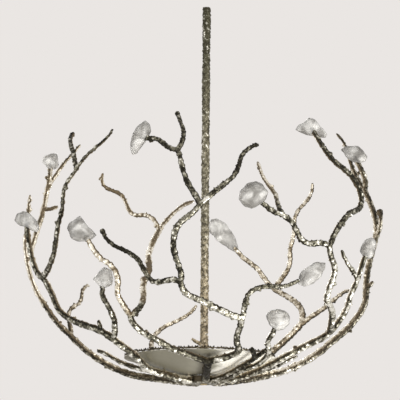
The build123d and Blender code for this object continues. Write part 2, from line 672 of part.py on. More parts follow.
# Screws that hold the lampholders to the carrier
with BuildPart() as holder_screws:
    with BuildSketch(Plane.XY.offset(carrier_z)):
        with Locations(*holder_screw_places):
            Circle(screw_radius)
    extrude(amount=carrier_height + holder_flange_height)
    with BuildSketch(Plane.XY.offset(carrier_top_z + holder_flange_height)):
        with Locations(*holder_screw_places):
            Circle(screw_head_radius)
    extrude(amount=screw_head_height)
holder_screws.part.label = "holder_screws"

# Terminal block on the carrier's tab, and the screw through it
block_top_z = carrier_top_z + block_height
with BuildPart() as terminal_block:
    with BuildSketch(Plane.XY.offset(carrier_top_z)):
        with Locations((block_reach, 0)):
            Rectangle(block_width, block_length)
        with Locations((block_reach + block_screw_shift, 0)):
            Circle(screw_radius + thread_gap, mode=Mode.SUBTRACT)
    extrude(amount=block_height)
terminal_block.part.label = "terminal_block"

with BuildPart() as block_screw:
    with BuildSketch(Plane.XY.offset(carrier_z)):
        with Locations((block_reach + block_screw_shift, 0)):
            Circle(screw_radius)
    extrude(amount=carrier_height + block_height)
    with BuildSketch(Plane.XY.offset(block_top_z)):
        with Locations((block_reach + block_screw_shift, 0)):
            Circle(screw_head_radius)
    extrude(amount=screw_head_height)
block_screw.part.label = "block_screw"

# Earth screw on the carrier
with BuildPart() as earth_screw:
    with BuildSketch(Plane.XY.offset(carrier_z)):
        with Locations((-earth_screw_reach, 0)):
            Circle(screw_radius)
    extrude(amount=carrier_height)
    with BuildSketch(Plane.XY.offset(carrier_top_z)):
        with Locations((-earth_screw_reach, 0)):
            Circle(screw_head_radius)
    extrude(amount=screw_head_height)
earth_screw.part.label = "earth_screw"

# Stem: a slightly uneven tube with a twig stub near its foot and a window for the cable
swell_count = 15
with BuildPart() as stem:
    with BuildSketch(Plane.XZ):
        with BuildLine():
            swell_points = []
            for number in range(swell_count):
                swell_z = carrier_top_z * number / (swell_count - 1)
                swell_points.append((stem_radius + stem_swell * math.sin(number * knot_turn), swell_z))
            outside = Spline(*swell_points)
            Line(outside @ 1, (stem_bore_radius, carrier_top_z))
            Line((stem_bore_radius, carrier_top_z), (stem_bore_radius, 0))
            Line((stem_bore_radius, 0), outside @ 0)
        make_face()
    revolve(axis=Axis.Z)
    tilt = math.radians(stub_tilt_degrees)
    stub_heading = Vector(-math.cos(tilt), 0, math.sin(tilt))
    stub_start = Vector(0, 0, hub_z + stub_rise) + stub_heading * (stem_bore_radius + stem_swell)
    with BuildSketch(Plane(origin=stub_start, z_dir=stub_heading)):
        Circle(stub_radius)
    with BuildSketch(Plane(origin=stub_start + stub_heading * stub_length, z_dir=stub_heading)):
        Circle(stub_end_radius)
    loft()
    with BuildSketch(Plane.XY.offset(hub_z)):
        Circle(stem_bore_radius)
    extrude(amount=-hub_z, mode=Mode.SUBTRACT)
    with BuildSketch(Plane.YZ):
        with Locations((0, window_z)):
            Circle(window_radius)
    extrude(amount=stem_radius * 2, mode=Mode.SUBTRACT)
stem.part.label = "stem"

# Bushes in the stem's ends: the top one takes the ceiling's threaded rod, the foot one the tie tube
with BuildPart() as stem_top_bush:
    with BuildSketch(Plane.XY.offset(-bush_height)):
        Circle(stem_bore_radius - bush_gap)
        Circle(top_thread_radius, mode=Mode.SUBTRACT)
    extrude(amount=bush_height)
stem_top_bush.part.label = "stem_top_bush"

with BuildPart() as stem_foot_bush:
    with BuildSketch(Plane.XY.offset(carrier_top_z)):
        Circle(stem_bore_radius - bush_gap)
        Circle(tie_radius + thread_gap, mode=Mode.SUBTRACT)
    extrude(amount=bush_height)
stem_foot_bush.part.label = "stem_foot_bush"

# Grommet in the stem's window
grommet_radius = window_radius - grommet_gap
with BuildPart() as cable_grommet:
    with BuildSketch(Plane.YZ.offset(stem_bore_radius)):
        with Locations((0, window_z)):
            Circle(grommet_radius)
            Circle(grommet_radius - grommet_wall, mode=Mode.SUBTRACT)
    extrude(amount=stem_radius + stem_swell + grommet_lip - stem_bore_radius)
    with BuildSketch(Plane.YZ.offset(stem_radius + stem_swell + running_gap)):
        with Locations((0, window_z)):
            Circle(window_radius + grommet_lip)
            Circle(grommet_radius - grommet_wall, mode=Mode.SUBTRACT)
    extrude(amount=grommet_lip)
cable_grommet.part.label = "cable_grommet"

# Supply cable: down the stem, out through the grommet and down into the terminal block
with BuildPart() as supply_cable:
    with BuildLine():
        cable_line = FilletPolyline(
            (0, 0, -bush_height - cable_top_gap),
            (0, 0, window_z),
            (block_reach - block_screw_shift, 0, window_z),
            (block_reach - block_screw_shift, 0, block_top_z),
            radius=cable_bend,
        )
    with BuildSketch(Plane(origin=cable_line @ 0, z_dir=cable_line % 0)):
        Circle(cable_radius)
    sweep()
supply_cable.part.label = "supply_cable"

# Lamp leads: four short runs from the terminal block's sides to the lampholders
lead_z = carrier_top_z + holder_flange_height + lead_radius + running_gap
with BuildPart() as lamp_leads:
    for side in (-1, 1):
        for end, start_shift in ((1, block_width / 4), (-1, -block_width / 4)):
            lamp_x = end * lamp_circle_radius / math.sqrt(2)
            lamp_y = side * lamp_circle_radius / math.sqrt(2)
            start_x = block_reach + start_shift
            turn_y = side * (block_length / 2 + lead_bend + end * lead_radius)
            knee_x = lamp_x if end < 0 else start_x
            knee = Vector(knee_x + lead_bend * (end < 0), turn_y + side * lead_bend * (end > 0), lead_z)
            lamp_middle = Vector(lamp_x, lamp_y, lead_z)
            stop = lamp_middle + (knee - lamp_middle).normalized() * (holder_radius + running_gap)
            start = Vector(start_x, side * block_length / 2, lead_z)
            corners = [start, knee, stop]
            if end < 0:
                corners = [start, Vector(start_x, turn_y, lead_z), knee, stop]
            with BuildLine():
                lead_line = FilletPolyline(*corners, radius=lead_bend / 2)
            with BuildSketch(Plane(origin=lead_line @ 0, z_dir=lead_line % 0)):
                Circle(lead_radius)
            sweep(path=lead_line)
lamp_leads.part.label = "lamp_leads"

# Write every sub-part
for built in (
    [crystal_pins, hub, limb_set_screws, cap_nut, tie_tube, pan_washer, pan, pan_rim]
    + [carrier_spacer, lamp_carrier, holder_screws, terminal_block, block_screw, earth_screw]
    + [stem, stem_top_bush, stem_foot_bush, cable_grommet, supply_cable, lamp_leads]
    + holders + lamp_caps + lamp_glasses + limbs + stones
):
    export_step(built.part, f"parts/{built.part.label}.step")
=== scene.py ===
import bpy
import math
import random
from mathutils import Matrix, Vector
import numpy as np


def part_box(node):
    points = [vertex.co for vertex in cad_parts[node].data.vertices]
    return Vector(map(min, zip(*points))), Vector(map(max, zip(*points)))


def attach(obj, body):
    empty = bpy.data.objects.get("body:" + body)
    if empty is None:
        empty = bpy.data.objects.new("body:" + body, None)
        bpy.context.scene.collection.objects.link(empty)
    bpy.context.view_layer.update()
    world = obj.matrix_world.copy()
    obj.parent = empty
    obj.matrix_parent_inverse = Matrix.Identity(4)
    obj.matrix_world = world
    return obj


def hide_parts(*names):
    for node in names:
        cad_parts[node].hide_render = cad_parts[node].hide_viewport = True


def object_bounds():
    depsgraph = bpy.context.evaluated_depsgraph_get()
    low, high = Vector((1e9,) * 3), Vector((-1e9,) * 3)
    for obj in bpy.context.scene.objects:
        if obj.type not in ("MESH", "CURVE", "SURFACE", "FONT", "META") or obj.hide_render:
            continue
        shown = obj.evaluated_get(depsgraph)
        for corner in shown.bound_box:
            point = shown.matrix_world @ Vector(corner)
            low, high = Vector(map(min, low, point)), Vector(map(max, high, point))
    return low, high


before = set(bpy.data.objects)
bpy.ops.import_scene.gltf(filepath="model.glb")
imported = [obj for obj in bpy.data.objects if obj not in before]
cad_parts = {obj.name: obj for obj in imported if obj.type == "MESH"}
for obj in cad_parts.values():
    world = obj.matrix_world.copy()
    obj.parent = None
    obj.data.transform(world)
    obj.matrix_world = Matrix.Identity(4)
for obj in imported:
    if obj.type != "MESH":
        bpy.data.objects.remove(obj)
cad_low, cad_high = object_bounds()

# Lengths are in metres
mm = 0.001
nest_centre = Vector((0, 0, -0.593))
nest_reach = 438 * mm

# The photograph's camera: its place, its lens in pixels, and the pixel that shows the nest's middle
eye_distance = 4.38
eye_rise = math.radians(11)
eye_roll = math.radians(0.45)
frame_px = 400
focal_px = 1760
axis_px = (204.9, 236.0)
sensor_mm = 36.0
onward = Vector((0, math.cos(eye_rise), math.sin(eye_rise)))
eye_place = nest_centre - onward * eye_distance
eye_turn = onward.to_track_quat("-Z", "Y").to_matrix() @ Matrix.Rotation(eye_roll, 3, "Z")
rightward, upward = eye_turn.col[0], eye_turn.col[1]

# Widths of the small faces in each kind of skin, and how close points are before they are merged
bark_voxel = 1.5 * mm
stem_voxel = 1.3 * mm
stone_voxel = 1.8 * mm
weld_gap = 0.01 * mm
spun_weld_gap = 0.005 * mm

# How many flats a turned piece has
pan_flats = 160
rim_flats = 240
lamp_flats = 40

front_limbs = [
    "limb_front_left", "limb_front_centre", "limb_front_fork", "limb_front_right", "limb_mid_right",
]
side_limbs = ["limb_outer_left", "limb_outer_right"]
back_limbs = ["limb_back_right", "limb_back_left"]

# Rock crystals: thickness, how much milkier than the rest, and the outline in the photograph's pixels
stone_shapes = {
    "crystal_left_rim": (34 * mm, 0.04, [
        (14, 220.5), (17, 214), (23, 211.5), (29, 213), (38, 221.5), (39.5, 228), (37.5, 232.5),
        (31, 230), (25, 226), (19, 225),
    ]),
    "crystal_left_back": (36 * mm, 0.06, [
        (42, 162), (45, 155.5), (51, 153.5), (57, 153.5), (59.5, 165), (55.5, 169.5), (48, 168.5),
    ]),
    "crystal_centre": (34 * mm, 0.01, [
        (207, 225), (211, 219), (217, 218), (225, 223), (232, 232), (237, 242), (239, 251),
        (235, 252.5), (227, 247), (217, 241), (209, 232),
    ]),
    "crystal_left_front": (46 * mm, 0.0, [
        (67, 229), (69, 223), (79.5, 215.5), (97, 235), (90, 241), (80, 242), (72, 239),
    ]),
    "crystal_left_low": (40 * mm, 0.06, [
        (92.5, 279), (98, 273), (104, 266.5), (111, 270), (113.5, 278), (112, 285), (106, 287.5),
        (99, 285.5),
    ]),
    "crystal_top_left": (32 * mm, 0.02, [
        (130, 143), (133, 133), (138, 125.5), (145, 120.5), (150, 124), (151, 132), (147, 139),
        (141, 146.5), (137, 154), (132, 155.5),
    ]),
    "crystal_right_mid": (36 * mm, -0.01, [
        (297, 280), (301, 272), (308, 266), (318, 261.5), (325.5, 263), (325, 269), (321, 277),
        (314, 283), (304, 286.5), (298.5, 284),
    ]),
    "crystal_top_right": (32 * mm, -0.01, [
        (295, 130), (297, 126), (304, 122), (309, 117.5), (315, 119.5), (321, 127), (328, 134.5),
        (326, 138), (318, 137.5), (310, 135.5), (302, 132.5),
    ]),
    "crystal_right_back": (36 * mm, 0.0, [
        (340, 149.5), (346, 146), (357, 146), (364, 150.5), (367.5, 157), (365, 162.5), (357, 163),
        (347, 158.5),
    ]),
    "crystal_right_inner": (50 * mm, -0.05, [
        (238, 199.5), (240, 191), (247, 183.5), (256, 181.5), (263, 185), (268, 191.5), (266, 199),
        (259, 205.5), (252, 209), (244, 206),
    ]),
    "crystal_right_low": (42 * mm, 0.04, [
        (265.5, 317), (268.5, 311.5), (276, 308.5), (285.5, 310.5), (290.5, 317), (290, 324),
        (284, 329.5), (276, 330), (269, 325),
    ]),
    "crystal_right_rim": (36 * mm, -0.02, [
        (360, 252.5), (361.5, 245), (366, 239), (372.5, 237.5), (376, 242), (374.5, 254),
        (370, 259.5), (364.5, 257.5),
    ]),
}
# Levels of a stone from its back to its front, as shares of half its thickness, and how wide each is
stone_level_shares = [(-1.0, 0.42), (-0.66, 0.84), (0.0, 1.0), (0.6, 0.88), (1.0, 0.5)]

# Lighter and darker stretches of the bark, partly its own patina and partly painted light and shade:
# middle and reach in pixels, and how much each lifts or lowers its tone
tone_marks = {
    "limb_front_left": [
        (150, 370, 16, 0.22), (185, 376, 14, 0.22), (170, 368, 12, -0.1), (128, 344, 16, 0.08),
        (80, 325, 24, -0.04), (60, 230, 34, -0.04), (90, 150, 24, -0.08), (72, 133, 6, -0.25),
        (113, 129, 5, -0.2),
    ],
    "limb_front_centre": [
        (208, 366, 11, -0.3), (208, 374, 6, -0.2), (217, 358, 6, 0.26), (150, 336, 24, 0.05),
        (232, 349, 10, -0.1), (173, 250, 18, -0.14), (104, 235, 13, -0.26), (122, 250, 13, -0.26),
        (140, 266, 12, -0.2), (92, 246, 9, 0.06), (103, 259, 9, 0.08), (113, 274, 10, 0.06),
        (114, 292, 18, 0.08), (183, 130, 26, -0.12), (192, 178, 18, -0.15), (242, 165, 24, -0.22),
        (255, 145, 6, -0.25), (112, 190, 18, 0.13), (135, 210, 16, 0.13), (155, 228, 12, 0.14),
        (178, 212, 8, 0.16), (151, 252, 10, 0.32), (144, 289, 9, 0.36), (138, 303, 7, 0.2),
        (200, 298, 16, 0.08), (222, 308, 18, 0.13), (240, 318, 12, 0.1),
    ],
    "limb_front_fork": [(255, 355, 22, -0.22)],
    "limb_front_right": [(232, 366, 10, 0.2), (246, 362, 8, -0.15), (262, 350, 20, 0.14)],
    "limb_mid_right": [
        (331, 290, 34, 0.26), (345, 220, 22, -0.06), (330, 160, 30, -0.12), (290, 352, 36, 0.14),
        (360, 185, 16, -0.15),
    ],
    "limb_outer_left": [
        (140, 376, 30, -0.08), (60, 325, 30, -0.06), (27, 255, 28, 0.26), (37, 290, 16, 0.2),
        (46, 192, 28, 0.16), (52, 160, 12, 0.12),
    ],
    "limb_outer_right": [(290, 368, 36, 0.20), (374, 228, 26, 0.14), (380, 211, 7, -0.3)],
    # The rim's front is darkened: painted shade
    "pan_rim": [(200, 347, 90, -0.22)],
}
# Stretches on the nest's outside that take painted golden light, as its inside does: middle and reach in
# pixels
painted_light_stretches = {
    "limb_front_centre": [
        (90, 245, 9), (99, 254, 8), (108, 264, 8), (115, 276, 10), (117, 292, 12), (124, 306, 10),
        (144, 294, 7),
    ],
    "limb_outer_left": [(26, 255, 22), (36, 288, 14), (46, 190, 26)],
}
# Round knobs of the bark: the pixel that shows each one's middle, and its radius
knobs = {
    "limb_outer_right": [((379, 211), 8.5 * mm)],
    "limb_front_centre": [((176, 113), 5.5 * mm), ((102.5, 231.5), 6 * mm), ((256, 144.5), 5 * mm)],
    "limb_front_left": [((72.5, 134), 5.5 * mm)],
}
# How far past its reach a mark fades out, and how sharply a painted-light stretch does
mark_edge = 1.3
painted_light_slope = 3
# The share of the nest's reach from which bark takes painted golden light inwards, and over how much it
# turns
inside_share = 0.86
inside_fade = 0.14
lamp_numbers = (1, 2, 3, 4)


# Tools of the bench

def deselect():
    """Leave nothing selected."""
    bpy.ops.object.select_all(action="DESELECT")
    bpy.context.view_layer.objects.active = None


def pick(piece):
    """Select one piece alone and make it the active one."""
    deselect()
    piece.select_set(True)
    bpy.context.view_layer.objects.active = piece


def apply_modifiers(piece):
    """Apply every modifier on a piece, in order."""
    pick(piece)
    for modifier in list(piece.modifiers):
        bpy.ops.object.modifier_apply(modifier=modifier.name)


def settle(piece):
    """Move a piece's place, turn and scale into its mesh."""
    pick(piece)
    bpy.ops.object.transform_apply(location=True, rotation=True, scale=True)


def clean(piece):
    """Merge doubles and turn every face outwards."""
    pick(piece)
    bpy.ops.object.mode_set(mode="EDIT")
    bpy.ops.mesh.select_all(action="SELECT")
    bpy.ops.mesh.remove_doubles(threshold=weld_gap)
    bpy.ops.mesh.normals_make_consistent(inside=False)
    bpy.ops.object.mode_set(mode="OBJECT")


def copy_node(node, name):
    """Return a merged copy of a CAD node's mesh, in place, as a new piece."""
    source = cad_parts[node]
    piece = bpy.data.objects.new(name, source.data.copy())
    bpy.context.scene.collection.objects.link(piece)
    piece.data.materials.clear()
    clean(piece)
    return piece


def finish_piece(piece, material, body="root", replaces=()):
    """Give a piece its finish, its body and the nodes that it stands for."""
    piece.data.materials.clear()
    piece.data.materials.append(material)
    if replaces:
        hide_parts(*replaces)
    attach(piece, body)
    return piece


def remesh(piece, voxel):
    """Give a closed piece an even skin of small faces."""
    modifier = piece.modifiers.new("skin", "REMESH")
    modifier.mode = "VOXEL"
    modifier.voxel_size = voxel
    modifier.use_smooth_shade = True
    apply_modifiers(piece)


def soften(piece, rounds, share=0.5):
    """Smooth a piece's skin a few times."""
    modifier = piece.modifiers.new("soften", "SMOOTH")
    modifier.factor = share
    modifier.iterations = rounds
    apply_modifiers(piece)


def shade_smooth(piece, degrees):
    """Shade a piece smoothly, except where its faces meet at more than an angle."""
    pick(piece)
    bpy.ops.object.shade_smooth_by_angle(angle=math.radians(degrees))


def relief_texture(name, kind, size):
    """Return one of Blender's solid textures for pushing a skin in and out."""
    texture = bpy.data.textures.new(name, type=kind)
    texture.noise_scale = size
    return texture


def push(piece, texture, strength, middle, group=""):
    """Push a piece's skin along its normals by a texture."""
    modifier = piece.modifiers.new("push", "DISPLACE")
    modifier.texture = texture
    modifier.texture_coords = "LOCAL"
    modifier.strength = strength
    modifier.mid_level = middle
    modifier.vertex_group = group


def points_of(piece):
    """Return a piece's points as an array."""
    points = np.zeros(len(piece.data.vertices) * 3, np.float32)
    piece.data.vertices.foreach_get("co", points)
    return points.reshape(-1, 3)


def normals_of(piece):
    """Return a piece's point normals as an array."""
    normals = np.zeros(len(piece.data.vertices) * 3, np.float32)
    piece.data.vertices.foreach_get("normal", normals)
    return normals.reshape(-1, 3)


def keep_inside(piece):
    """Press a skin flat where it would stand out of the part's own box."""
    points = np.clip(points_of(piece), np.array(cad_low), np.array(cad_high))
    piece.data.vertices.foreach_set("co", points.astype(np.float32).ravel())
    piece.data.update()


def seen_point(pixel, depth):
    """Return the point that a pixel of the photograph shows at a depth from the camera."""
    across = (pixel[0] - axis_px[0]) / focal_px
    above = (axis_px[1] - pixel[1]) / focal_px
    return eye_place + (onward + rightward * across + upward * above) * depth


def pixels_of(points):
    """Return the photograph's pixels that show an array of points."""
    rays = points - np.array(eye_place)
    depth = rays @ np.array(onward)
    across = axis_px[0] + focal_px * (rays @ np.array(rightward)) / depth
    above = axis_px[1] - focal_px * (rays @ np.array(upward)) / depth
    return np.stack([across, above], axis=1)


def write_values(piece, name, values):
    """Keep a number for each point of a piece, or one for them all, for its material to read."""
    layer = piece.data.attributes.new(name, "FLOAT", "POINT")
    layer.data.foreach_set("value", np.full(len(piece.data.vertices), values, np.float32))


def mark_strength(pixels, across, above, reach, slope=1):
    """Return how much a mark at a pixel of the photograph acts on each point, from 0 to 1."""
    away = np.hypot(pixels[:, 0] - across, pixels[:, 1] - above)
    return np.clip((mark_edge - away / reach) * slope, 0, 1)


def roughen(piece, layers, depth, group="", marks=(), golden=()):
    """Push a skin by textures, and keep each point's height, facing, place in the nest with its
    painted-light share, and tone.
    """
    before = points_of(piece)
    normals = normals_of(piece)
    for texture, strength, middle in layers:
        push(piece, texture, strength, middle, group)
    apply_modifiers(piece)
    lift = ((points_of(piece) - before) * normals).sum(axis=1)
    write_values(piece, "relief", np.clip((lift - lift.mean()) / depth * 0.5 + 0.5, 0, 1))
    outwards = before - np.array(nest_centre)
    reach = np.linalg.norm(outwards, axis=1)
    write_values(piece, "outer", (outwards / reach[:, None] * normals).sum(axis=1) * 0.5 + 0.5)
    # How far inside the nest a point lies, joined with the painted-light stretches: where the bark is
    # painted golden as lit
    inside = np.clip((inside_share - reach / nest_reach) / inside_fade, 0, 1)
    tone = np.full(len(before), 0.5)
    pixels = pixels_of(before)
    for stretch in golden:
        inside = np.maximum(inside, mark_strength(pixels, *stretch, painted_light_slope))
    write_values(piece, "inside", inside)
    for *mark, amount in marks:
        tone += amount * mark_strength(pixels, *mark)
    write_values(piece, "tone", np.clip(tone, 0, 1))


def start_point(name, place):
    """Start a piece as one selected point at a place, and stay in edit mode."""
    deselect()
    bpy.ops.mesh.primitive_plane_add(size=1 * mm, location=(0, 0, 0))
    piece = bpy.context.object
    piece.name = name
    bpy.ops.object.mode_set(mode="EDIT")
    bpy.ops.mesh.select_all(action="SELECT")
    bpy.ops.mesh.merge(type="CENTER")
    bpy.ops.transform.translate(value=place)
    return piece


def spun(name, profile, centre, steps):
    """Turn a profile of (radius, height) points round a vertical axis."""
    first_radius, first_height = profile[0]
    piece = start_point(name, (centre[0] + first_radius, centre[1], first_height))
    last = profile[0]
    for place in profile[1:]:
        step = (place[0] - last[0], 0, place[1] - last[1])
        bpy.ops.mesh.extrude_vertices_move(TRANSFORM_OT_translate={"value": step})
        last = place
    bpy.ops.mesh.select_all(action="SELECT")
    bpy.ops.mesh.spin(steps=steps, angle=math.tau, center=(*centre, 0), axis=(0, 0, 1))
    bpy.ops.mesh.select_all(action="SELECT")
    bpy.ops.mesh.remove_doubles(threshold=spun_weld_gap)
    bpy.ops.mesh.normals_make_consistent(inside=False)
    bpy.ops.object.mode_set(mode="OBJECT")
    return piece


# Node helpers and shared effects

def node_group(name, inputs, outputs):
    """Start a shader node group with named number and colour sockets."""
    group = bpy.data.node_groups.new(name, "ShaderNodeTree")
    for socket_name, kind, value in inputs:
        socket = group.interface.new_socket(socket_name, in_out="INPUT", socket_type=kind)
        socket.default_value = value
    for socket_name, kind in outputs:
        group.interface.new_socket(socket_name, in_out="OUTPUT", socket_type=kind)
    start = group.nodes.new("NodeGroupInput")
    end = group.nodes.new("NodeGroupOutput")
    return group, start, end


def add(tree, kind, values=(), links=(), **settings):
    """Add a node, set its inputs by number or name, and link sockets to its inputs."""
    node = tree.nodes.new(kind)
    for setting, value in settings.items():
        setattr(node, setting, value)
    for socket, value in values:
        node.inputs[socket].default_value = value
    for socket, source in links:
        tree.links.new(source, node.inputs[socket])
    return node


def ramp(tree, source, stops):
    """Add a colour ramp through (place, colour) stops."""
    node = add(tree, "ShaderNodeValToRGB", links=[(0, source)])
    elements = node.color_ramp.elements
    while len(elements) < len(stops):
        elements.new(0.5)
    for element, (place, colour) in zip(elements, stops):
        element.position = place
        element.color = (*colour, 1)
    return node.outputs[0]


def give(tree, socket, value):
    """Give an input socket a number, a colour or another node's output."""
    if isinstance(value, tuple):
        socket.default_value = (*value, 1)
    elif isinstance(value, (int, float)):
        socket.default_value = value
    else:
        tree.links.new(value, socket)


def math_node(tree, operation, *values, clamp=False):
    """Add a math node. Each value is a number or a socket."""
    node = add(tree, "ShaderNodeMath", operation=operation, use_clamp=clamp)
    for socket, value in zip(node.inputs, values):
        give(tree, socket, value)
    return node.outputs[0]


def over(tree, value, start, slope, clamp=False):
    """Return how far a value lies over a start, times a slope. Each is a number or a socket."""
    return math_node(tree, "MULTIPLY", math_node(tree, "SUBTRACT", value, start), slope, clamp=clamp)


def mix_colour(tree, share, first, second):
    """Add a colour mix. Each colour is a tuple or a socket, and the share a number or a socket."""
    node = add(tree, "ShaderNodeMix", data_type="RGBA")
    for place, value in ((0, share), (6, first), (7, second)):
        give(tree, node.inputs[place], value)
    return node.outputs[2]


def own_place(tree):
    """Return a point's place in its piece's own coordinates."""
    return add(tree, "ShaderNodeTexCoord").outputs["Object"]


def kept_value(tree, name):
    """Return a number that write_values kept on the piece."""
    return add(tree, "ShaderNodeAttribute", attribute_name=name).outputs["Fac"]


def noise(tree, place, scale, detail=2.0, roughness=0.5, distortion=0.0):
    """Add a noise texture. Its scale is a number or a socket."""
    node = add(tree, "ShaderNodeTexNoise",
               [("Detail", detail), ("Roughness", roughness), ("Distortion", distortion)],
               [("Vector", place)])
    give(tree, node.inputs["Scale"], scale)
    return node.outputs[0]


# Speckles: the coarse ones' scale beside the fine ones', the fine ones' share, and how sharp all are
coarse_scale = 0.3
fine_share = 0.6
speckle_slope = 7.0

# Patina: the height under which it is black, and how sharply its colours change. Its relief, tone and
# patches are even at 0.5.
hollow_height = 0.33
patina_slope = 4.5


def speckle_group():
    """Shared effect: fine and coarse speckles in a surface, as a mask and a height."""
    group, start, end = node_group(
        "speckle",
        [("Size", "NodeSocketFloat", 300.0), ("Sparse", "NodeSocketFloat", 0.5)],
        [("Mask", "NodeSocketFloat"), ("Height", "NodeSocketFloat")],
    )
    place = own_place(group)
    fine = noise(group, place, start.outputs["Size"], 4.0, 0.65)
    coarse = noise(group, place, math_node(group, "MULTIPLY", start.outputs["Size"], coarse_scale))
    both = math_node(group, "ADD", math_node(group, "MULTIPLY", fine, fine_share),
                     math_node(group, "MULTIPLY", coarse, 1 - fine_share))
    mask = over(group, both, start.outputs["Sparse"], speckle_slope, clamp=True)
    group.links.new(mask, end.inputs["Mask"])
    group.links.new(both, end.inputs["Height"])
    return group


def patina_group():
    """Shared effect: a patina that is black in the hollows and worn bright on the crests, moved lighter
    or darker by its tone and darker by painted shade.
    """
    group, start, end = node_group(
        "patina",
        [("Hollow", "NodeSocketColor", (0.02, 0.02, 0.015, 1)),
         ("Body", "NodeSocketColor", (0.1, 0.09, 0.06, 1)),
         ("Crest", "NodeSocketColor", (0.6, 0.58, 0.5, 1)),
         ("Relief", "NodeSocketFloat", 0.5),
         ("Tone", "NodeSocketFloat", 0.5),
         ("Shade", "NodeSocketFloat", 0.0),
         ("Size", "NodeSocketFloat", 100.0),
         ("Patches", "NodeSocketFloat", 1.9),
         ("Wear", "NodeSocketFloat", 0.5)],
        [("Color", "NodeSocketColor"), ("Worn", "NodeSocketFloat")],
    )
    spots = noise(group, own_place(group), start.outputs["Size"], 4.0, 0.6)
    patches = over(group, spots, 0.5, start.outputs["Patches"])
    marked = math_node(group, "SUBTRACT", start.outputs["Tone"], 0.5)
    tone = math_node(group, "ADD", marked, patches)
    lift = over(group, start.outputs["Relief"], 0.5, 0.5)
    shaded = math_node(group, "SUBTRACT", 0.5, start.outputs["Shade"])
    height = math_node(group, "ADD", math_node(group, "ADD", lift, tone), shaded)
    low = over(group, height, hollow_height, patina_slope, clamp=True)
    worn_height = math_node(group, "SUBTRACT", 1.0, start.outputs["Wear"])
    high = over(group, height, worn_height, patina_slope, clamp=True)
    base = mix_colour(group, low, start.outputs["Hollow"], start.outputs["Body"])
    group.links.new(mix_colour(group, high, base, start.outputs["Crest"]), end.inputs["Color"])
    group.links.new(high, end.inputs["Worn"])
    return group


speckle = speckle_group()
patina = patina_group()


def new_material(name):
    """Start a material with its shader alone."""
    material = bpy.data.materials.new(name)
    material.use_nodes = True
    tree = material.node_tree
    return material, tree, tree.nodes["Principled BSDF"]


def set_values(shader, **values):
    """Set a shader's own sockets, written with underscores for spaces."""
    for socket, value in values.items():
        shader.inputs[socket.replace("_", " ")].default_value = value


def use_group(tree, group, values=(), links=()):
    """Place a shared effect in a material."""
    return add(tree, "ShaderNodeGroup", values, links, node_tree=group)


def vary_roughness(tree, shader, base, mask, share):
    """Make a shader's roughness a base and a share of a mask."""
    rough = math_node(tree, "ADD", base, math_node(tree, "MULTIPLY", mask, share))
    tree.links.new(rough, shader.inputs["Roughness"])


def bump(tree, shader, height, strength, distance):
    """Add a bump from a height to a shader's normal."""
    values = [("Strength", strength), ("Distance", distance)]
    node = add(tree, "ShaderNodeBump", values, [("Height", height)])
    tree.links.new(node.outputs[0], shader.inputs["Normal"])


# Finishes

# Bark's painted-shade coat, outside the nest, and painted-light coat, inside it: extra wear, how strong
# its patches are, and how much painted shade its sides take
shaded_coat_rubbing = (0.0, 1.35, 1.0)
lit_coat_rubbing = (0.07, 0.9, 1.35)
bark_patch_scale = 78.0
bark_wear = 0.46
# Where a branch's painted shade along its sides and on its outward half begins, from 0 to 1, and how
# sharply
sides_start, sides_slope = 0.35, 1.8
outward_start, outward_slope = 0.30, 3.5


def bark_finish(name, shaded_colours, lit_colours, edge_shade):
    """Cast bronze bark: painted shade outside the nest, painted golden light inside it, and painted
    shade along its sides.
    """
    material, tree, shader = new_material(name)
    relief, outer, inside, tone = [
        kept_value(tree, value) for value in ("relief", "outer", "inside", "tone")]
    # Painted shade along a branch's sides, where its faces turn sideways to the nest's middle
    turned = math_node(tree, "ABSOLUTE", math_node(tree, "SUBTRACT", outer, 0.5))
    sideways = math_node(tree, "SUBTRACT", 1.0, math_node(tree, "MULTIPLY", turned, 2.0))
    sides = over(tree, sideways, sides_start, sides_slope, clamp=True)
    shade = math_node(tree, "MULTIPLY", sides, edge_shade)
    coats = []
    for colours, rubbing in ((shaded_colours, shaded_coat_rubbing), (lit_colours, lit_coat_rubbing)):
        extra_wear, patches, side_share = rubbing
        values = [(socket, (*colour, 1)) for socket, colour in zip(("Hollow", "Body", "Crest"), colours)]
        values += [("Wear", bark_wear + extra_wear), ("Size", bark_patch_scale), ("Patches", patches)]
        side = math_node(tree, "MULTIPLY", shade, side_share)
        coats.append(use_group(tree, patina, values,
                               [("Relief", relief), ("Tone", tone), ("Shade", side)]))
    shaded_coat, lit_coat = coats
    # The dark share: painted shade on faces turned out of the nest, outside its inner part and its
    # painted-light stretches; painted golden light on the rest
    outward = over(tree, outer, outward_start, outward_slope, clamp=True)
    dark = math_node(tree, "MULTIPLY", outward, math_node(tree, "SUBTRACT", 1.0, inside))
    colour = mix_colour(tree, dark, lit_coat.outputs["Color"], shaded_coat.outputs["Color"])
    tree.links.new(colour, shader.inputs["Base Color"])
    grain = use_group(tree, speckle, [("Size", 420.0), ("Sparse", 0.5)])
    vary_roughness(tree, shader, 0.50, shaded_coat.outputs["Worn"], -0.22)
    set_values(shader, Metallic=0.85)
    bump(tree, shader, grain.outputs["Height"], 0.5, 0.8 * mm)
    return material


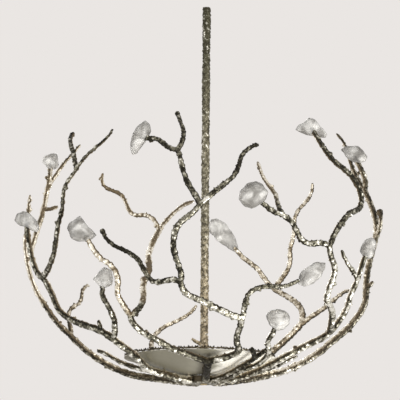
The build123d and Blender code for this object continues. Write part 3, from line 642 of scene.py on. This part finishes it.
def stem_finish():
    """The stem's bark: dark olive at the top, pale in the middle and golden brown at the foot, painted
    light at the foot and painted shade at the top.
    """
    material, tree, shader = new_material("stem_bark")
    relief = kept_value(tree, "relief")
    height = add(tree, "ShaderNodeSeparateXYZ", links=[(0, own_place(tree))]).outputs[2]
    level = math_node(tree, "ADD", height, 1.0)
    # Painted light at the foot, turning to painted shade towards the top
    body = ramp(tree, level, [
        (0.05, (0.57, 0.47, 0.33)), (0.25, (0.43, 0.365, 0.25)), (0.45, (0.26, 0.238, 0.17)),
        (0.70, (0.20, 0.183, 0.125)), (0.84, (0.10, 0.095, 0.06)), (0.98, (0.075, 0.071, 0.043)),
    ])
    hollow = mix_colour(tree, 0.75, body, (0.03, 0.025, 0.015))
    values = [("Crest", (0.72, 0.70, 0.62, 1)), ("Wear", 0.38), ("Patches", 1.6)]
    coat = use_group(tree, patina, values, [("Relief", relief), ("Hollow", hollow), ("Body", body)])
    tree.links.new(coat.outputs["Color"], shader.inputs["Base Color"])
    grain = use_group(tree, speckle, [("Size", 380.0), ("Sparse", 0.5)])
    vary_roughness(tree, shader, 0.55, coat.outputs["Worn"], -0.2)
    set_values(shader, Metallic=0.8)
    bump(tree, shader, grain.outputs["Height"], 0.5, 0.8 * mm)
    return material


# How far left of the stem's axis the pan sits, and how fast the painted light on its underside grows to
# the right
pan_offset = 10 * mm
pan_painted_light_slope = 7.0


def pan_finish():
    """Satin spun bronze with fine turning marks, clouded, its underside painted lighter to the right, up
    to a painted highlight.
    """
    material, tree, shader = new_material("pan_satin")
    place = own_place(tree)
    centred = add(tree, "ShaderNodeMapping", [("Location", (pan_offset, 0, 0))], [("Vector", place)])
    flat = add(tree, "ShaderNodeVectorMath", [(1, (1, 1, 0))], [(0, centred.outputs[0])],
               operation="MULTIPLY")
    reach = add(tree, "ShaderNodeVectorMath", links=[(0, flat.outputs[0])], operation="LENGTH")
    rings = add(tree, "ShaderNodeTexNoise", [("Scale", 900.0), ("Detail", 2.0)],
                [("W", reach.outputs["Value"])], noise_dimensions="1D").outputs[0]
    clouds = noise(tree, place, 14.0, 5.0, 0.6)
    across = add(tree, "ShaderNodeSeparateXYZ", links=[(0, place)]).outputs[0]
    clouds_and_painted_light = math_node(tree, "ADD", clouds, math_node(tree, "MULTIPLY", across, pan_painted_light_slope))
    # The underside's painted light: darker on the left, lighter to the right, brightest as a painted
    # highlight
    below = ramp(tree, clouds_and_painted_light, [
        (0.15, (0.20, 0.188, 0.14)), (0.52, (0.28, 0.265, 0.205)), (0.70, (0.97, 0.955, 0.88)),
    ])
    above = ramp(tree, clouds, [(0.3, (0.34, 0.32, 0.25)), (0.7, (0.56, 0.54, 0.44))])
    colour = mix_colour(tree, kept_value(tree, "under"), above, below)
    tree.links.new(colour, shader.inputs["Base Color"])
    vary_roughness(tree, shader, 0.34, clouds, 0.25)
    set_values(shader, Metallic=0.35)
    bump(tree, shader, rings, 0.12, 0.3 * mm)
    return material


# Where a stone's painted shade on its edge-on sides begins, from 0 to 1, how sharply, and how deep its
# cracks may go
stone_shade_start, stone_shade_slope = 0.62, 2.4
crack_depth = 0.12


def stone_finish():
    """Rock crystal: a frosted skin over milky clouds, with painted shade on its sides, where they turn
    edge-on to the camera.
    """
    material, tree, shader = new_material("rock_crystal")
    place = own_place(tree)
    clouds = noise(tree, place, 34.0, 3.0, 0.5, 0.6)
    veins = noise(tree, place, 150.0)
    cracks = add(tree, "ShaderNodeTexVoronoi", [("Scale", 48.0)], [("Vector", place)],
                 feature="DISTANCE_TO_EDGE").outputs["Distance"]
    colour = ramp(tree, math_node(tree, "ADD", clouds, kept_value(tree, "milk")), [
        (0.36, (0.28, 0.27, 0.25)), (0.49, (0.52, 0.51, 0.485)), (0.60, (0.90, 0.89, 0.86)),
    ])
    # Painted shade on the stone's sides, edge-on to the camera
    edge = over(tree, kept_value(tree, "side"), stone_shade_start, stone_shade_slope, clamp=True)
    colour = mix_colour(tree, edge, colour, (0.15, 0.145, 0.135))
    tree.links.new(colour, shader.inputs["Base Color"])
    vary_roughness(tree, shader, 0.38, veins, 0.25)
    set_values(shader, Transmission_Weight=0.6, IOR=1.45, Specular_IOR_Level=0.2)
    bump(tree, shader, math_node(tree, "MINIMUM", cracks, crack_depth), 0.3, 9 * mm)
    return material


def plain_finish(name, dark, light, roughness, metallic=1.0, size=160.0):
    """A plain metal, ceramic or plastic with faint clouding and a fine grain."""
    material, tree, shader = new_material(name)
    grain = use_group(tree, speckle, [("Size", size), ("Sparse", 0.42)])
    tree.links.new(mix_colour(tree, grain.outputs["Mask"], dark, light), shader.inputs["Base Color"])
    vary_roughness(tree, shader, roughness, grain.outputs["Height"], 0.12)
    set_values(shader, Metallic=metallic)
    bump(tree, shader, grain.outputs["Height"], 0.15, 0.3 * mm)
    return material


def sleeve_finish():
    """Woven sleeve on the lamp leads."""
    material, tree, shader = new_material("woven_sleeve")
    weave = add(tree, "ShaderNodeTexVoronoi", [("Scale", 1600.0)],
                [("Vector", own_place(tree))]).outputs["Distance"]
    colour = ramp(tree, weave, [(0.1, (0.80, 0.77, 0.69)), (0.7, (0.45, 0.43, 0.37))])
    tree.links.new(colour, shader.inputs["Base Color"])
    set_values(shader, Roughness=0.8)
    bump(tree, shader, weave, 0.5, 0.3 * mm)
    return material


def lamp_glass_finish():
    """Clear lamp glass, faintly smoked by use."""
    material, tree, shader = new_material("lamp_glass")
    smoke = use_group(tree, speckle, [("Size", 60.0), ("Sparse", 0.55)])
    colour = mix_colour(tree, smoke.outputs["Mask"], (1.0, 1.0, 1.0), (0.93, 0.93, 0.92))
    tree.links.new(colour, shader.inputs["Base Color"])
    vary_roughness(tree, shader, 0.0, smoke.outputs["Mask"], 0.06)
    set_values(shader, Transmission_Weight=1.0, IOR=1.46)
    return material


# Each bark: hollow, body and crest colours of its painted-shade coat, then of its painted-light coat,
# then the painted shade along its sides
dark_bark = bark_finish(
    "dark_bark",
    [(0.018, 0.016, 0.010), (0.20, 0.188, 0.138), (0.84, 0.82, 0.74)],
    [(0.15, 0.115, 0.070), (0.62, 0.55, 0.42), (0.93, 0.89, 0.79)],
    0.33,
)
golden_bark = bark_finish(
    "golden_bark",
    [(0.024, 0.020, 0.013), (0.22, 0.20, 0.145), (0.82, 0.79, 0.71)],
    [(0.13, 0.10, 0.062), (0.50, 0.435, 0.32), (0.88, 0.83, 0.72)],
    0.34,
)
stem_bark = stem_finish()
pan_satin = pan_finish()
rock_crystal = stone_finish()
zinc = plain_finish("zinc_plate", (0.42, 0.42, 0.41), (0.62, 0.62, 0.60), 0.32)
brass = plain_finish("satin_brass", (0.45, 0.34, 0.16), (0.68, 0.55, 0.30), 0.28)
ceramic = plain_finish("glazed_ceramic", (0.78, 0.76, 0.70), (0.86, 0.84, 0.79), 0.16, 0.0, 90.0)
block_plastic = plain_finish(
    "block_plastic", (0.70, 0.69, 0.64), (0.78, 0.77, 0.73), 0.45, 0.0, 240.0)
cable_rubber = plain_finish(
    "cable_rubber", (0.018, 0.018, 0.018), (0.035, 0.034, 0.033), 0.5, 0.0, 300.0)
sleeve = sleeve_finish()
lamp_glass = lamp_glass_finish()
tungsten = plain_finish("tungsten", (0.30, 0.28, 0.25), (0.50, 0.47, 0.42), 0.3)

# Branches: each casting gets a skin of bark, with lumps, nodules, crumbs, thorns, knots and knobs.
# A layer of a skin is its texture, how far it pushes, and the texture's level that stays in place.
lumps = relief_texture("lumps", "CLOUDS", 9 * mm)
nodules = relief_texture("nodules", "VORONOI", 6 * mm)
crumbs = relief_texture("crumbs", "CLOUDS", 2.6 * mm)
bark_layers = [(lumps, 4.4 * mm, 0.30), (nodules, -2.0 * mm, 0.42), (crumbs, 1.4 * mm, 0.45)]
bark_relief = 2.2 * mm
thorn_spacing = 34 * mm
knot_spacing = 75 * mm
nub_sink = 1.2 * mm
nub_lean = 0.45
knob_search_px = 3


def nub_shape(name, radius, height):
    """A small thorn: a six-sided cone with a blunt, bevelled tip, standing on the origin."""
    deselect()
    bpy.ops.mesh.primitive_cone_add(vertices=6, radius1=radius, radius2=radius * 0.4, depth=height,
                                    location=(0, 0, height / 2))
    piece = bpy.context.object
    piece.name = name
    settle(piece)
    pick(piece)
    bpy.ops.object.mode_set(mode="EDIT")
    bpy.ops.mesh.select_all(action="SELECT")
    bpy.ops.mesh.bevel(offset=radius * 0.3, segments=1)
    bpy.ops.object.mode_set(mode="OBJECT")
    return piece


def copy_at(piece, place, heading, scale):
    """Return a copy of a small piece, with its own mesh, on a place and pointing along a heading."""
    twin = bpy.data.objects.new(piece.name, piece.data.copy())
    bpy.context.scene.collection.objects.link(twin)
    twin.rotation_mode = "QUATERNION"
    twin.rotation_quaternion = Vector(heading).to_track_quat("Z", "Y")
    twin.location = place
    twin.scale = (scale, scale, scale)
    twin.data.transform(twin.matrix_basis)
    twin.matrix_basis.identity()
    return twin


def join(pieces, name):
    """Join pieces into one."""
    deselect()
    for piece in pieces:
        piece.select_set(True)
    bpy.context.view_layer.objects.active = pieces[0]
    bpy.ops.object.join()
    joined = bpy.context.object
    joined.name = name
    return joined


def stud(piece, shape, spacing, scales):
    """Join nubs to a piece's skin, one for each stretch of skin, at seeded places."""
    points = points_of(piece)
    normals = normals_of(piece)
    count = int(len(points) * bark_voxel ** 2 / spacing ** 2)
    nubs = []
    for number in random.sample(range(len(points)), count):
        normal = Vector(normals[number])
        place = Vector(points[number]) - normal * nub_sink
        lean = Vector((random.uniform(-1, 1), random.uniform(-1, 1), random.uniform(-0.4, 1)))
        nubs.append(copy_at(shape, place, normal + lean * nub_lean, random.uniform(*scales)))
    return join([piece] + nubs, piece.name)


def knob(piece, pixel, radius):
    """Join a round knob to a skin where the photograph shows one."""
    points = points_of(piece)
    pixels = pixels_of(points)
    near = np.hypot(pixels[:, 0] - pixel[0], pixels[:, 1] - pixel[1]) < knob_search_px
    middle = points[near].mean(axis=0)
    deselect()
    bpy.ops.mesh.primitive_uv_sphere_add(segments=14, ring_count=9, radius=radius, location=middle)
    ball = bpy.context.object
    settle(ball)
    return join([piece, ball], piece.name)


def bark_limb(node, material):
    """Replace a limb casting by one with a bark skin, thorns, knots and knobs."""
    piece = copy_node(node, node.replace("limb_", "bark_"))
    remesh(piece, bark_voxel)
    soften(piece, 2)
    piece = stud(piece, thorn, thorn_spacing, (0.5, 1.0))
    piece = stud(piece, knot, knot_spacing, (0.7, 1.2))
    for pixel, radius in knobs.get(node, ()):
        piece = knob(piece, pixel, radius)
    remesh(piece, bark_voxel)
    roughen(piece, bark_layers, bark_relief,
            marks=tone_marks.get(node, ()), golden=painted_light_stretches.get(node, ()))
    keep_inside(piece)
    return finish_piece(piece, material, replaces=[node])


random.seed(11)
thorn = nub_shape("thorn", 2.4 * mm, 5.5 * mm)
knot = nub_shape("knot", 5.5 * mm, 6.5 * mm)
for node in front_limbs:
    bark_limb(node, dark_bark)
for node in side_limbs + back_limbs:
    bark_limb(node, golden_bark)
bpy.data.objects.remove(thorn)
bpy.data.objects.remove(knot)

# Hub: a rough cast boss
hub_piece = copy_node("hub", "cast_hub")
remesh(hub_piece, bark_voxel)
roughen(hub_piece, [(lumps, 1.6 * mm, 0.6), (crumbs, 1.0 * mm, 0.6)], 1.0 * mm)
finish_piece(hub_piece, dark_bark, replaces=["hub"])


# Stem: a bark tube, its bore left smooth up to a radius inside its wall
bore_reach = 9.0 * mm


def stem_piece():
    """Replace the stem by one with a skin of bark outside its bore."""
    piece = copy_node("stem", "bark_stem")
    remesh(piece, stem_voxel)
    points = points_of(piece)
    reach = np.hypot(points[:, 0], points[:, 1])
    outside = piece.vertex_groups.new(name="outside")
    outside.add([int(number) for number in np.where(reach > bore_reach)[0]], 1.0, "REPLACE")
    roughen(piece, [(lumps, 2.8 * mm, 0.45), (nodules, -3.0 * mm, 0.36), (crumbs, 2.4 * mm, 0.45)],
            2.4 * mm, "outside")
    keep_inside(piece)
    return finish_piece(piece, stem_bark, replaces=["stem"])


stem_piece()

# Pan: a spun bowl with a turned-out flange and a rolled edge
pan_low, pan_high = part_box("pan")
pan_centre = ((pan_low.x + pan_high.x) / 2, 0)
pan_radius = (pan_high.x - pan_low.x) / 2
pan_depth = pan_high.z - pan_low.z
pan_wall = 1.5 * mm
pan_flange = 7 * mm
pan_hole_radius = 14 * mm
pan_edge_curve = 0.6 * mm
pan_steps = 28


def pan_piece():
    """Replace the pan by a smooth spun one."""
    slope_radius = pan_radius - pan_flange
    rise = pan_depth - pan_wall
    curve_radius = (slope_radius ** 2 + rise ** 2) / (2 * rise)
    under, upper = [], []
    for number in range(pan_steps + 1):
        reach = pan_hole_radius + (slope_radius - pan_hole_radius) * number / pan_steps
        height = curve_radius - math.sqrt(curve_radius ** 2 - reach ** 2)
        under.append((reach, pan_low.z + height))
        upper.append((reach - pan_wall * reach / curve_radius, pan_low.z + height + pan_wall))
    edge = [(pan_radius - pan_edge_curve, pan_high.z - pan_wall),
            (pan_radius, pan_high.z - pan_wall / 2),
            (pan_radius - pan_edge_curve, pan_high.z)]
    piece = spun("spun_pan", under + edge + upper[::-1] + under[:1], pan_centre, pan_flats)
    write_values(piece, "under", normals_of(piece)[:, 2] < 0)
    shade_smooth(piece, 40)
    return finish_piece(piece, pan_satin, replaces=["pan"])


pan_piece()

# Rim: a rough ring on the pan's edge, set with small nubs
rim_low, rim_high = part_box("pan_rim")
rim_middle = pan_radius - 3 * mm
rim_level = (rim_low.z + rim_high.z) / 2
rim_half_width = 2.6 * mm
rim_half_height = (rim_high.z - rim_low.z) / 2 - 0.4 * mm
rim_sides = 12
rim_nub_count = 150
rim_nub_foot = rim_level + 1.5 * mm


def rim_piece():
    """Replace the rim ring by one with a bark skin."""
    profile = []
    for number in range(rim_sides + 1):
        turn = math.tau * number / rim_sides
        profile.append((rim_middle + rim_half_width * math.cos(turn),
                        rim_level + rim_half_height * math.sin(turn)))
    piece = spun("bark_rim", profile, pan_centre, rim_flats)
    remesh(piece, bark_voxel)
    layers = [(lumps, 3.2 * mm, 0.5), (nodules, -2.4 * mm, 0.35), (crumbs, 1.4 * mm, 0.5)]
    roughen(piece, layers, 2.0 * mm, marks=tone_marks["pan_rim"])
    return finish_piece(piece, dark_bark, replaces=["pan_rim"])


rim_piece()


def rim_nubs():
    """Make the small nubs that stand up all round the rim."""
    random.seed(7)
    shape = nub_shape("nub", 3.0 * mm, 4.4 * mm)
    nubs = []
    for number in range(rim_nub_count):
        turn = math.tau * (number + random.uniform(-0.3, 0.3)) / rim_nub_count
        lean = random.uniform(-0.5, 0.5)
        tilt = random.uniform(-0.35, 0.35)
        across = Vector((math.cos(turn), math.sin(turn), 0))
        along = Vector((-math.sin(turn), math.cos(turn), 0))
        place = Vector((*pan_centre, rim_nub_foot)) + across * rim_middle
        heading = Vector((0, 0, 1)) + along * lean + across * tilt
        nubs.append(copy_at(shape, place, heading, random.uniform(0.6, 1.15)))
    bpy.data.objects.remove(shape)
    piece = join(nubs, "rim_nubs")
    # Set as turned out of the nest, so the nubs take the bark's painted-shade coat, and low in tone, so
    # darker still
    write_values(piece, "relief", 0.45)
    write_values(piece, "outer", 0.9)
    write_values(piece, "tone", 0.2)
    return finish_piece(piece, dark_bark)


rim_nubs()

# Rock crystals: rough stones with the photograph's outlines, narrower towards their front and back
hollows = relief_texture("hollows", "CLOUDS", 24 * mm)
chips = relief_texture("chips", "VORONOI", 17 * mm)
stone_layers = [(hollows, 5.0 * mm, 0.42), (chips, 2.6 * mm, 0.45)]


def stone_piece(node):
    """Replace a crystal by a stone that is drawn through its levels from back to front."""
    thickness, milk, outline = stone_shapes[node]
    low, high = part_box(node)
    depth = ((low + high) / 2 - eye_place).dot(onward)
    places = [seen_point(pixel, depth) for pixel in outline]
    middle = sum(places, Vector()) / len(places)
    half_forward = -onward * thickness / 2
    piece = start_point(node.replace("crystal_", "stone_"), places[0])
    for last, place in zip(places, places[1:]):
        bpy.ops.mesh.extrude_vertices_move(TRANSFORM_OT_translate={"value": place - last})
    bpy.ops.mesh.select_all(action="SELECT")
    bpy.ops.mesh.edge_face_add()
    last_level, last_width = stone_level_shares[0]
    bpy.ops.transform.resize(value=(last_width,) * 3, center_override=middle)
    bpy.ops.transform.translate(value=half_forward * last_level)
    for level, width in stone_level_shares[1:]:
        step = half_forward * (level - last_level)
        bpy.ops.mesh.extrude_region_move(TRANSFORM_OT_translate={"value": step})
        bpy.ops.transform.resize(value=(width / last_width,) * 3,
                                 center_override=middle + half_forward * level)
        last_level, last_width = level, width
    bpy.ops.mesh.select_all(action="SELECT")
    bpy.ops.mesh.normals_make_consistent(inside=False)
    bpy.ops.object.mode_set(mode="OBJECT")
    remesh(piece, stone_voxel)
    soften(piece, 10, 0.6)
    # How edge-on each face is to the camera, where the stone takes painted shade
    write_values(piece, "side", 1 - np.abs(normals_of(piece) @ np.array(onward)))
    write_values(piece, "milk", milk)
    for texture, strength, level in stone_layers:
        push(piece, texture, strength, level)
    apply_modifiers(piece)
    soften(piece, 4)
    keep_inside(piece)
    clean(piece)
    pick(piece)
    bpy.ops.object.shade_smooth()
    return finish_piece(piece, rock_crystal, replaces=[node])


for node in stone_shapes:
    stone_piece(node)


# Lamps: hollow glass with a narrowed foot and a drawn tip, and a coiled filament on two legs
lamp_wall = 0.7 * mm
lamp_foot = 4 * mm
lamp_tip_wall = 1.4 * mm
lamp_foot_share = 0.72
lamp_neck_share = 0.8
lamp_neck_height = 3 * mm
lamp_shoulder_height = 6 * mm
lamp_tip_radius = 0.9 * mm
dome_rise = 6 * mm
dome_to_tip = 7 * mm
dome_steps = 6
filament_leg = 5 * mm
coil_radius = 1.3 * mm
coil_wire = 0.22 * mm
coil_pitch = 0.75 * mm
coil_turns = 14


def lamp_profile(radius, foot_height, top_height):
    """Half outline of a lamp's glass, from the middle of its foot to its drawn tip."""
    dome_height = top_height - dome_to_tip
    profile = [(0, foot_height),
               (radius * lamp_foot_share, foot_height),
               (radius * lamp_neck_share, foot_height + lamp_neck_height),
               (radius, foot_height + lamp_shoulder_height)]
    for step in range(dome_steps):
        turn = math.pi / 2 * step / dome_steps
        profile.append((radius * math.cos(turn), dome_height + dome_rise * math.sin(turn)))
    return profile + [(lamp_tip_radius, top_height - lamp_tip_radius), (0, top_height)]


def glass_piece(number, low, high, centre):
    """Replace a lamp's plain glass by a hollow one."""
    radius = (high.x - low.x) / 2
    outer = spun(f"lamp_bulb_{number}", lamp_profile(radius, low.z, high.z), centre, lamp_flats)
    hollow = lamp_profile(radius - lamp_wall, low.z + lamp_foot, high.z - lamp_tip_wall)
    inner = spun("hollow", hollow, centre, lamp_flats)
    pick(inner)
    bpy.ops.object.mode_set(mode="EDIT")
    bpy.ops.mesh.select_all(action="SELECT")
    bpy.ops.mesh.flip_normals()
    bpy.ops.object.mode_set(mode="OBJECT")
    glass = join([outer, inner], f"lamp_bulb_{number}")
    shade_smooth(glass, 50)
    finish_piece(glass, lamp_glass, f"lamp_{number}", [f"lamp_glass_{number}"])


def filament_piece(number, low, centre):
    """Make the coiled filament that stands on two legs inside a lamp's glass."""
    deselect()
    bpy.ops.mesh.primitive_circle_add(vertices=6, radius=coil_wire, location=(coil_radius, 0, 0),
                                      rotation=(math.pi / 2, 0, 0))
    coil = bpy.context.object
    settle(coil)
    screw = coil.modifiers.new("turns", "SCREW")
    screw.screw_offset = coil_pitch
    screw.iterations = coil_turns
    screw.steps = 10
    screw.render_steps = 10
    apply_modifiers(coil)
    leg_foot = low.z + lamp_foot
    coil.location = (*centre, leg_foot + filament_leg)
    settle(coil)
    legs = []
    for side in (-1, 1):
        deselect()
        height = filament_leg + (coil_turns * coil_pitch if side > 0 else 0)
        across = centre[0] + side * (coil_radius + 2 * coil_wire)
        bpy.ops.mesh.primitive_cylinder_add(
            vertices=6, radius=coil_wire * 1.3, depth=height,
            location=(across, centre[1], leg_foot + height / 2))
        leg = bpy.context.object
        settle(leg)
        legs.append(leg)
    filament = join([coil] + legs, f"filament_{number}")
    clean(filament)
    shade_smooth(filament, 50)
    finish_piece(filament, tungsten, f"lamp_{number}")


for number in lamp_numbers:
    glass_low, glass_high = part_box(f"lamp_glass_{number}")
    glass_centre = ((glass_low.x + glass_high.x) / 2, (glass_low.y + glass_high.y) / 2)
    glass_piece(number, glass_low, glass_high, glass_centre)
    filament_piece(number, glass_low, glass_centre)

# Nodes that stay as they are in the CAD, and their finishes
for nodes, material in (
    (["crystal_pins", "limb_set_screws", "tie_tube", "pan_washer", "carrier_spacer",
      "lamp_carrier", "holder_screws", "block_screw", "stem_top_bush", "stem_foot_bush"], zinc),
    (["cap_nut", "earth_screw"], brass),
    ([f"lampholder_{number}" for number in lamp_numbers], ceramic),
    ([f"lamp_cap_{number}" for number in lamp_numbers], ceramic),
    (["terminal_block"], block_plastic),
    (["supply_cable", "cable_grommet"], cable_rubber),
    (["lamp_leads"], sleeve),
):
    for node in nodes:
        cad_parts[node].data.materials.clear()
        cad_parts[node].data.materials.append(material)


# Stage, light and camera
background = (0.823, 0.791, 0.768)
floor_width = 40
floor_drop = 1.5
floor_glow = 0.9
floor_glow_seen = 0.65
surround_light = 0.55


def pale_rays(tree, camera_share=1.0):
    """Return where a ray shows the background: in metal and glass, and by a share to the camera."""
    rays = add(tree, "ShaderNodeLightPath").outputs
    clear = math_node(tree, "MAXIMUM", rays["Is Transmission Ray"], rays["Is Glossy Ray"])
    seen = math_node(tree, "MULTIPLY", rays["Is Camera Ray"], camera_share)
    return math_node(tree, "MAXIMUM", clear, seen)


def pale_floor():
    """A pale floor far below the nest, which partly glows so that it shows as pale as the surround."""
    material, tree, shader = new_material("pale_floor")
    mottle = noise(tree, own_place(tree), 2.0)
    colour = ramp(tree, mottle, [(0.3, (0.80, 0.77, 0.745)), (0.7, (0.83, 0.80, 0.775))])
    tree.links.new(colour, shader.inputs["Base Color"])
    set_values(shader, Roughness=0.9)
    glow = add(tree, "ShaderNodeEmission", [("Color", (*background, 1)), ("Strength", floor_glow)])
    both = add(tree, "ShaderNodeMixShader", links=[
        (0, pale_rays(tree, floor_glow_seen)), (1, shader.outputs[0]), (2, glow.outputs[0])])
    tree.links.new(both.outputs[0], tree.nodes["Material Output"].inputs["Surface"])
    deselect()
    bpy.ops.mesh.primitive_plane_add(size=floor_width, location=(0, 0, cad_low.z - floor_drop))
    floor = bpy.context.object
    floor.name = "floor"
    floor.data.materials.append(material)


def pale_surround():
    """A surround that lights the nest softly, and that the camera, metal and glass see as pale."""
    world = bpy.data.worlds.new("surround")
    bpy.context.scene.world = world
    world.use_nodes = True
    tree = world.node_tree
    tree.nodes.clear()
    shown = add(tree, "ShaderNodeBackground", [("Color", (*background, 1)), ("Strength", 1.0)])
    lit = add(tree, "ShaderNodeBackground",
              [("Color", (0.80, 0.80, 0.79, 1)), ("Strength", surround_light)])
    both = add(tree, "ShaderNodeMixShader", links=[
        (0, pale_rays(tree)), (1, lit.outputs[0]), (2, shown.outputs[0])])
    add(tree, "ShaderNodeOutputWorld", links=[(0, both.outputs[0])])


def soft_light(name, place, size, power, colour):
    """A soft square light that looks at the nest, and isn't seen through the crystals."""
    data = bpy.data.lights.new(name, "AREA")
    data.size = size
    data.energy = power
    data.color = colour
    light = bpy.data.objects.new(name, data)
    bpy.context.scene.collection.objects.link(light)
    light.location = place
    light.visible_transmission = False
    light.rotation_mode = "QUATERNION"
    light.rotation_quaternion = (nest_centre - Vector(place)).to_track_quat("-Z", "Y")


def camera():
    """The photograph's camera: a little below the nest, looking up."""
    data = bpy.data.cameras.new("view")
    data.sensor_width = sensor_mm
    data.lens = focal_px / frame_px * sensor_mm
    data.shift_x = -(axis_px[0] - frame_px / 2) / frame_px
    data.shift_y = (axis_px[1] - frame_px / 2) / frame_px
    eye = bpy.data.objects.new("view", data)
    bpy.context.scene.collection.objects.link(eye)
    eye.location = eye_place
    eye.rotation_euler = eye_turn.to_euler()
    bpy.context.scene.camera = eye


pale_floor()
pale_surround()
soft_light("key", (1.9, -2.6, 1.0), 1.8, 56, (1.0, 0.985, 0.96))
soft_light("fill", (-2.6, -2.2, -0.8), 2.2, 34, (0.97, 0.985, 1.0))
soft_light("low", (1.1, -1.2, -2.0), 1.0, 38, (1.0, 0.99, 0.97))
soft_light("edge", (-0.6, 2.8, 0.6), 1.6, 36, (1.0, 0.99, 0.97))
camera()

view = bpy.context.scene.view_settings
view.view_transform = "Standard"
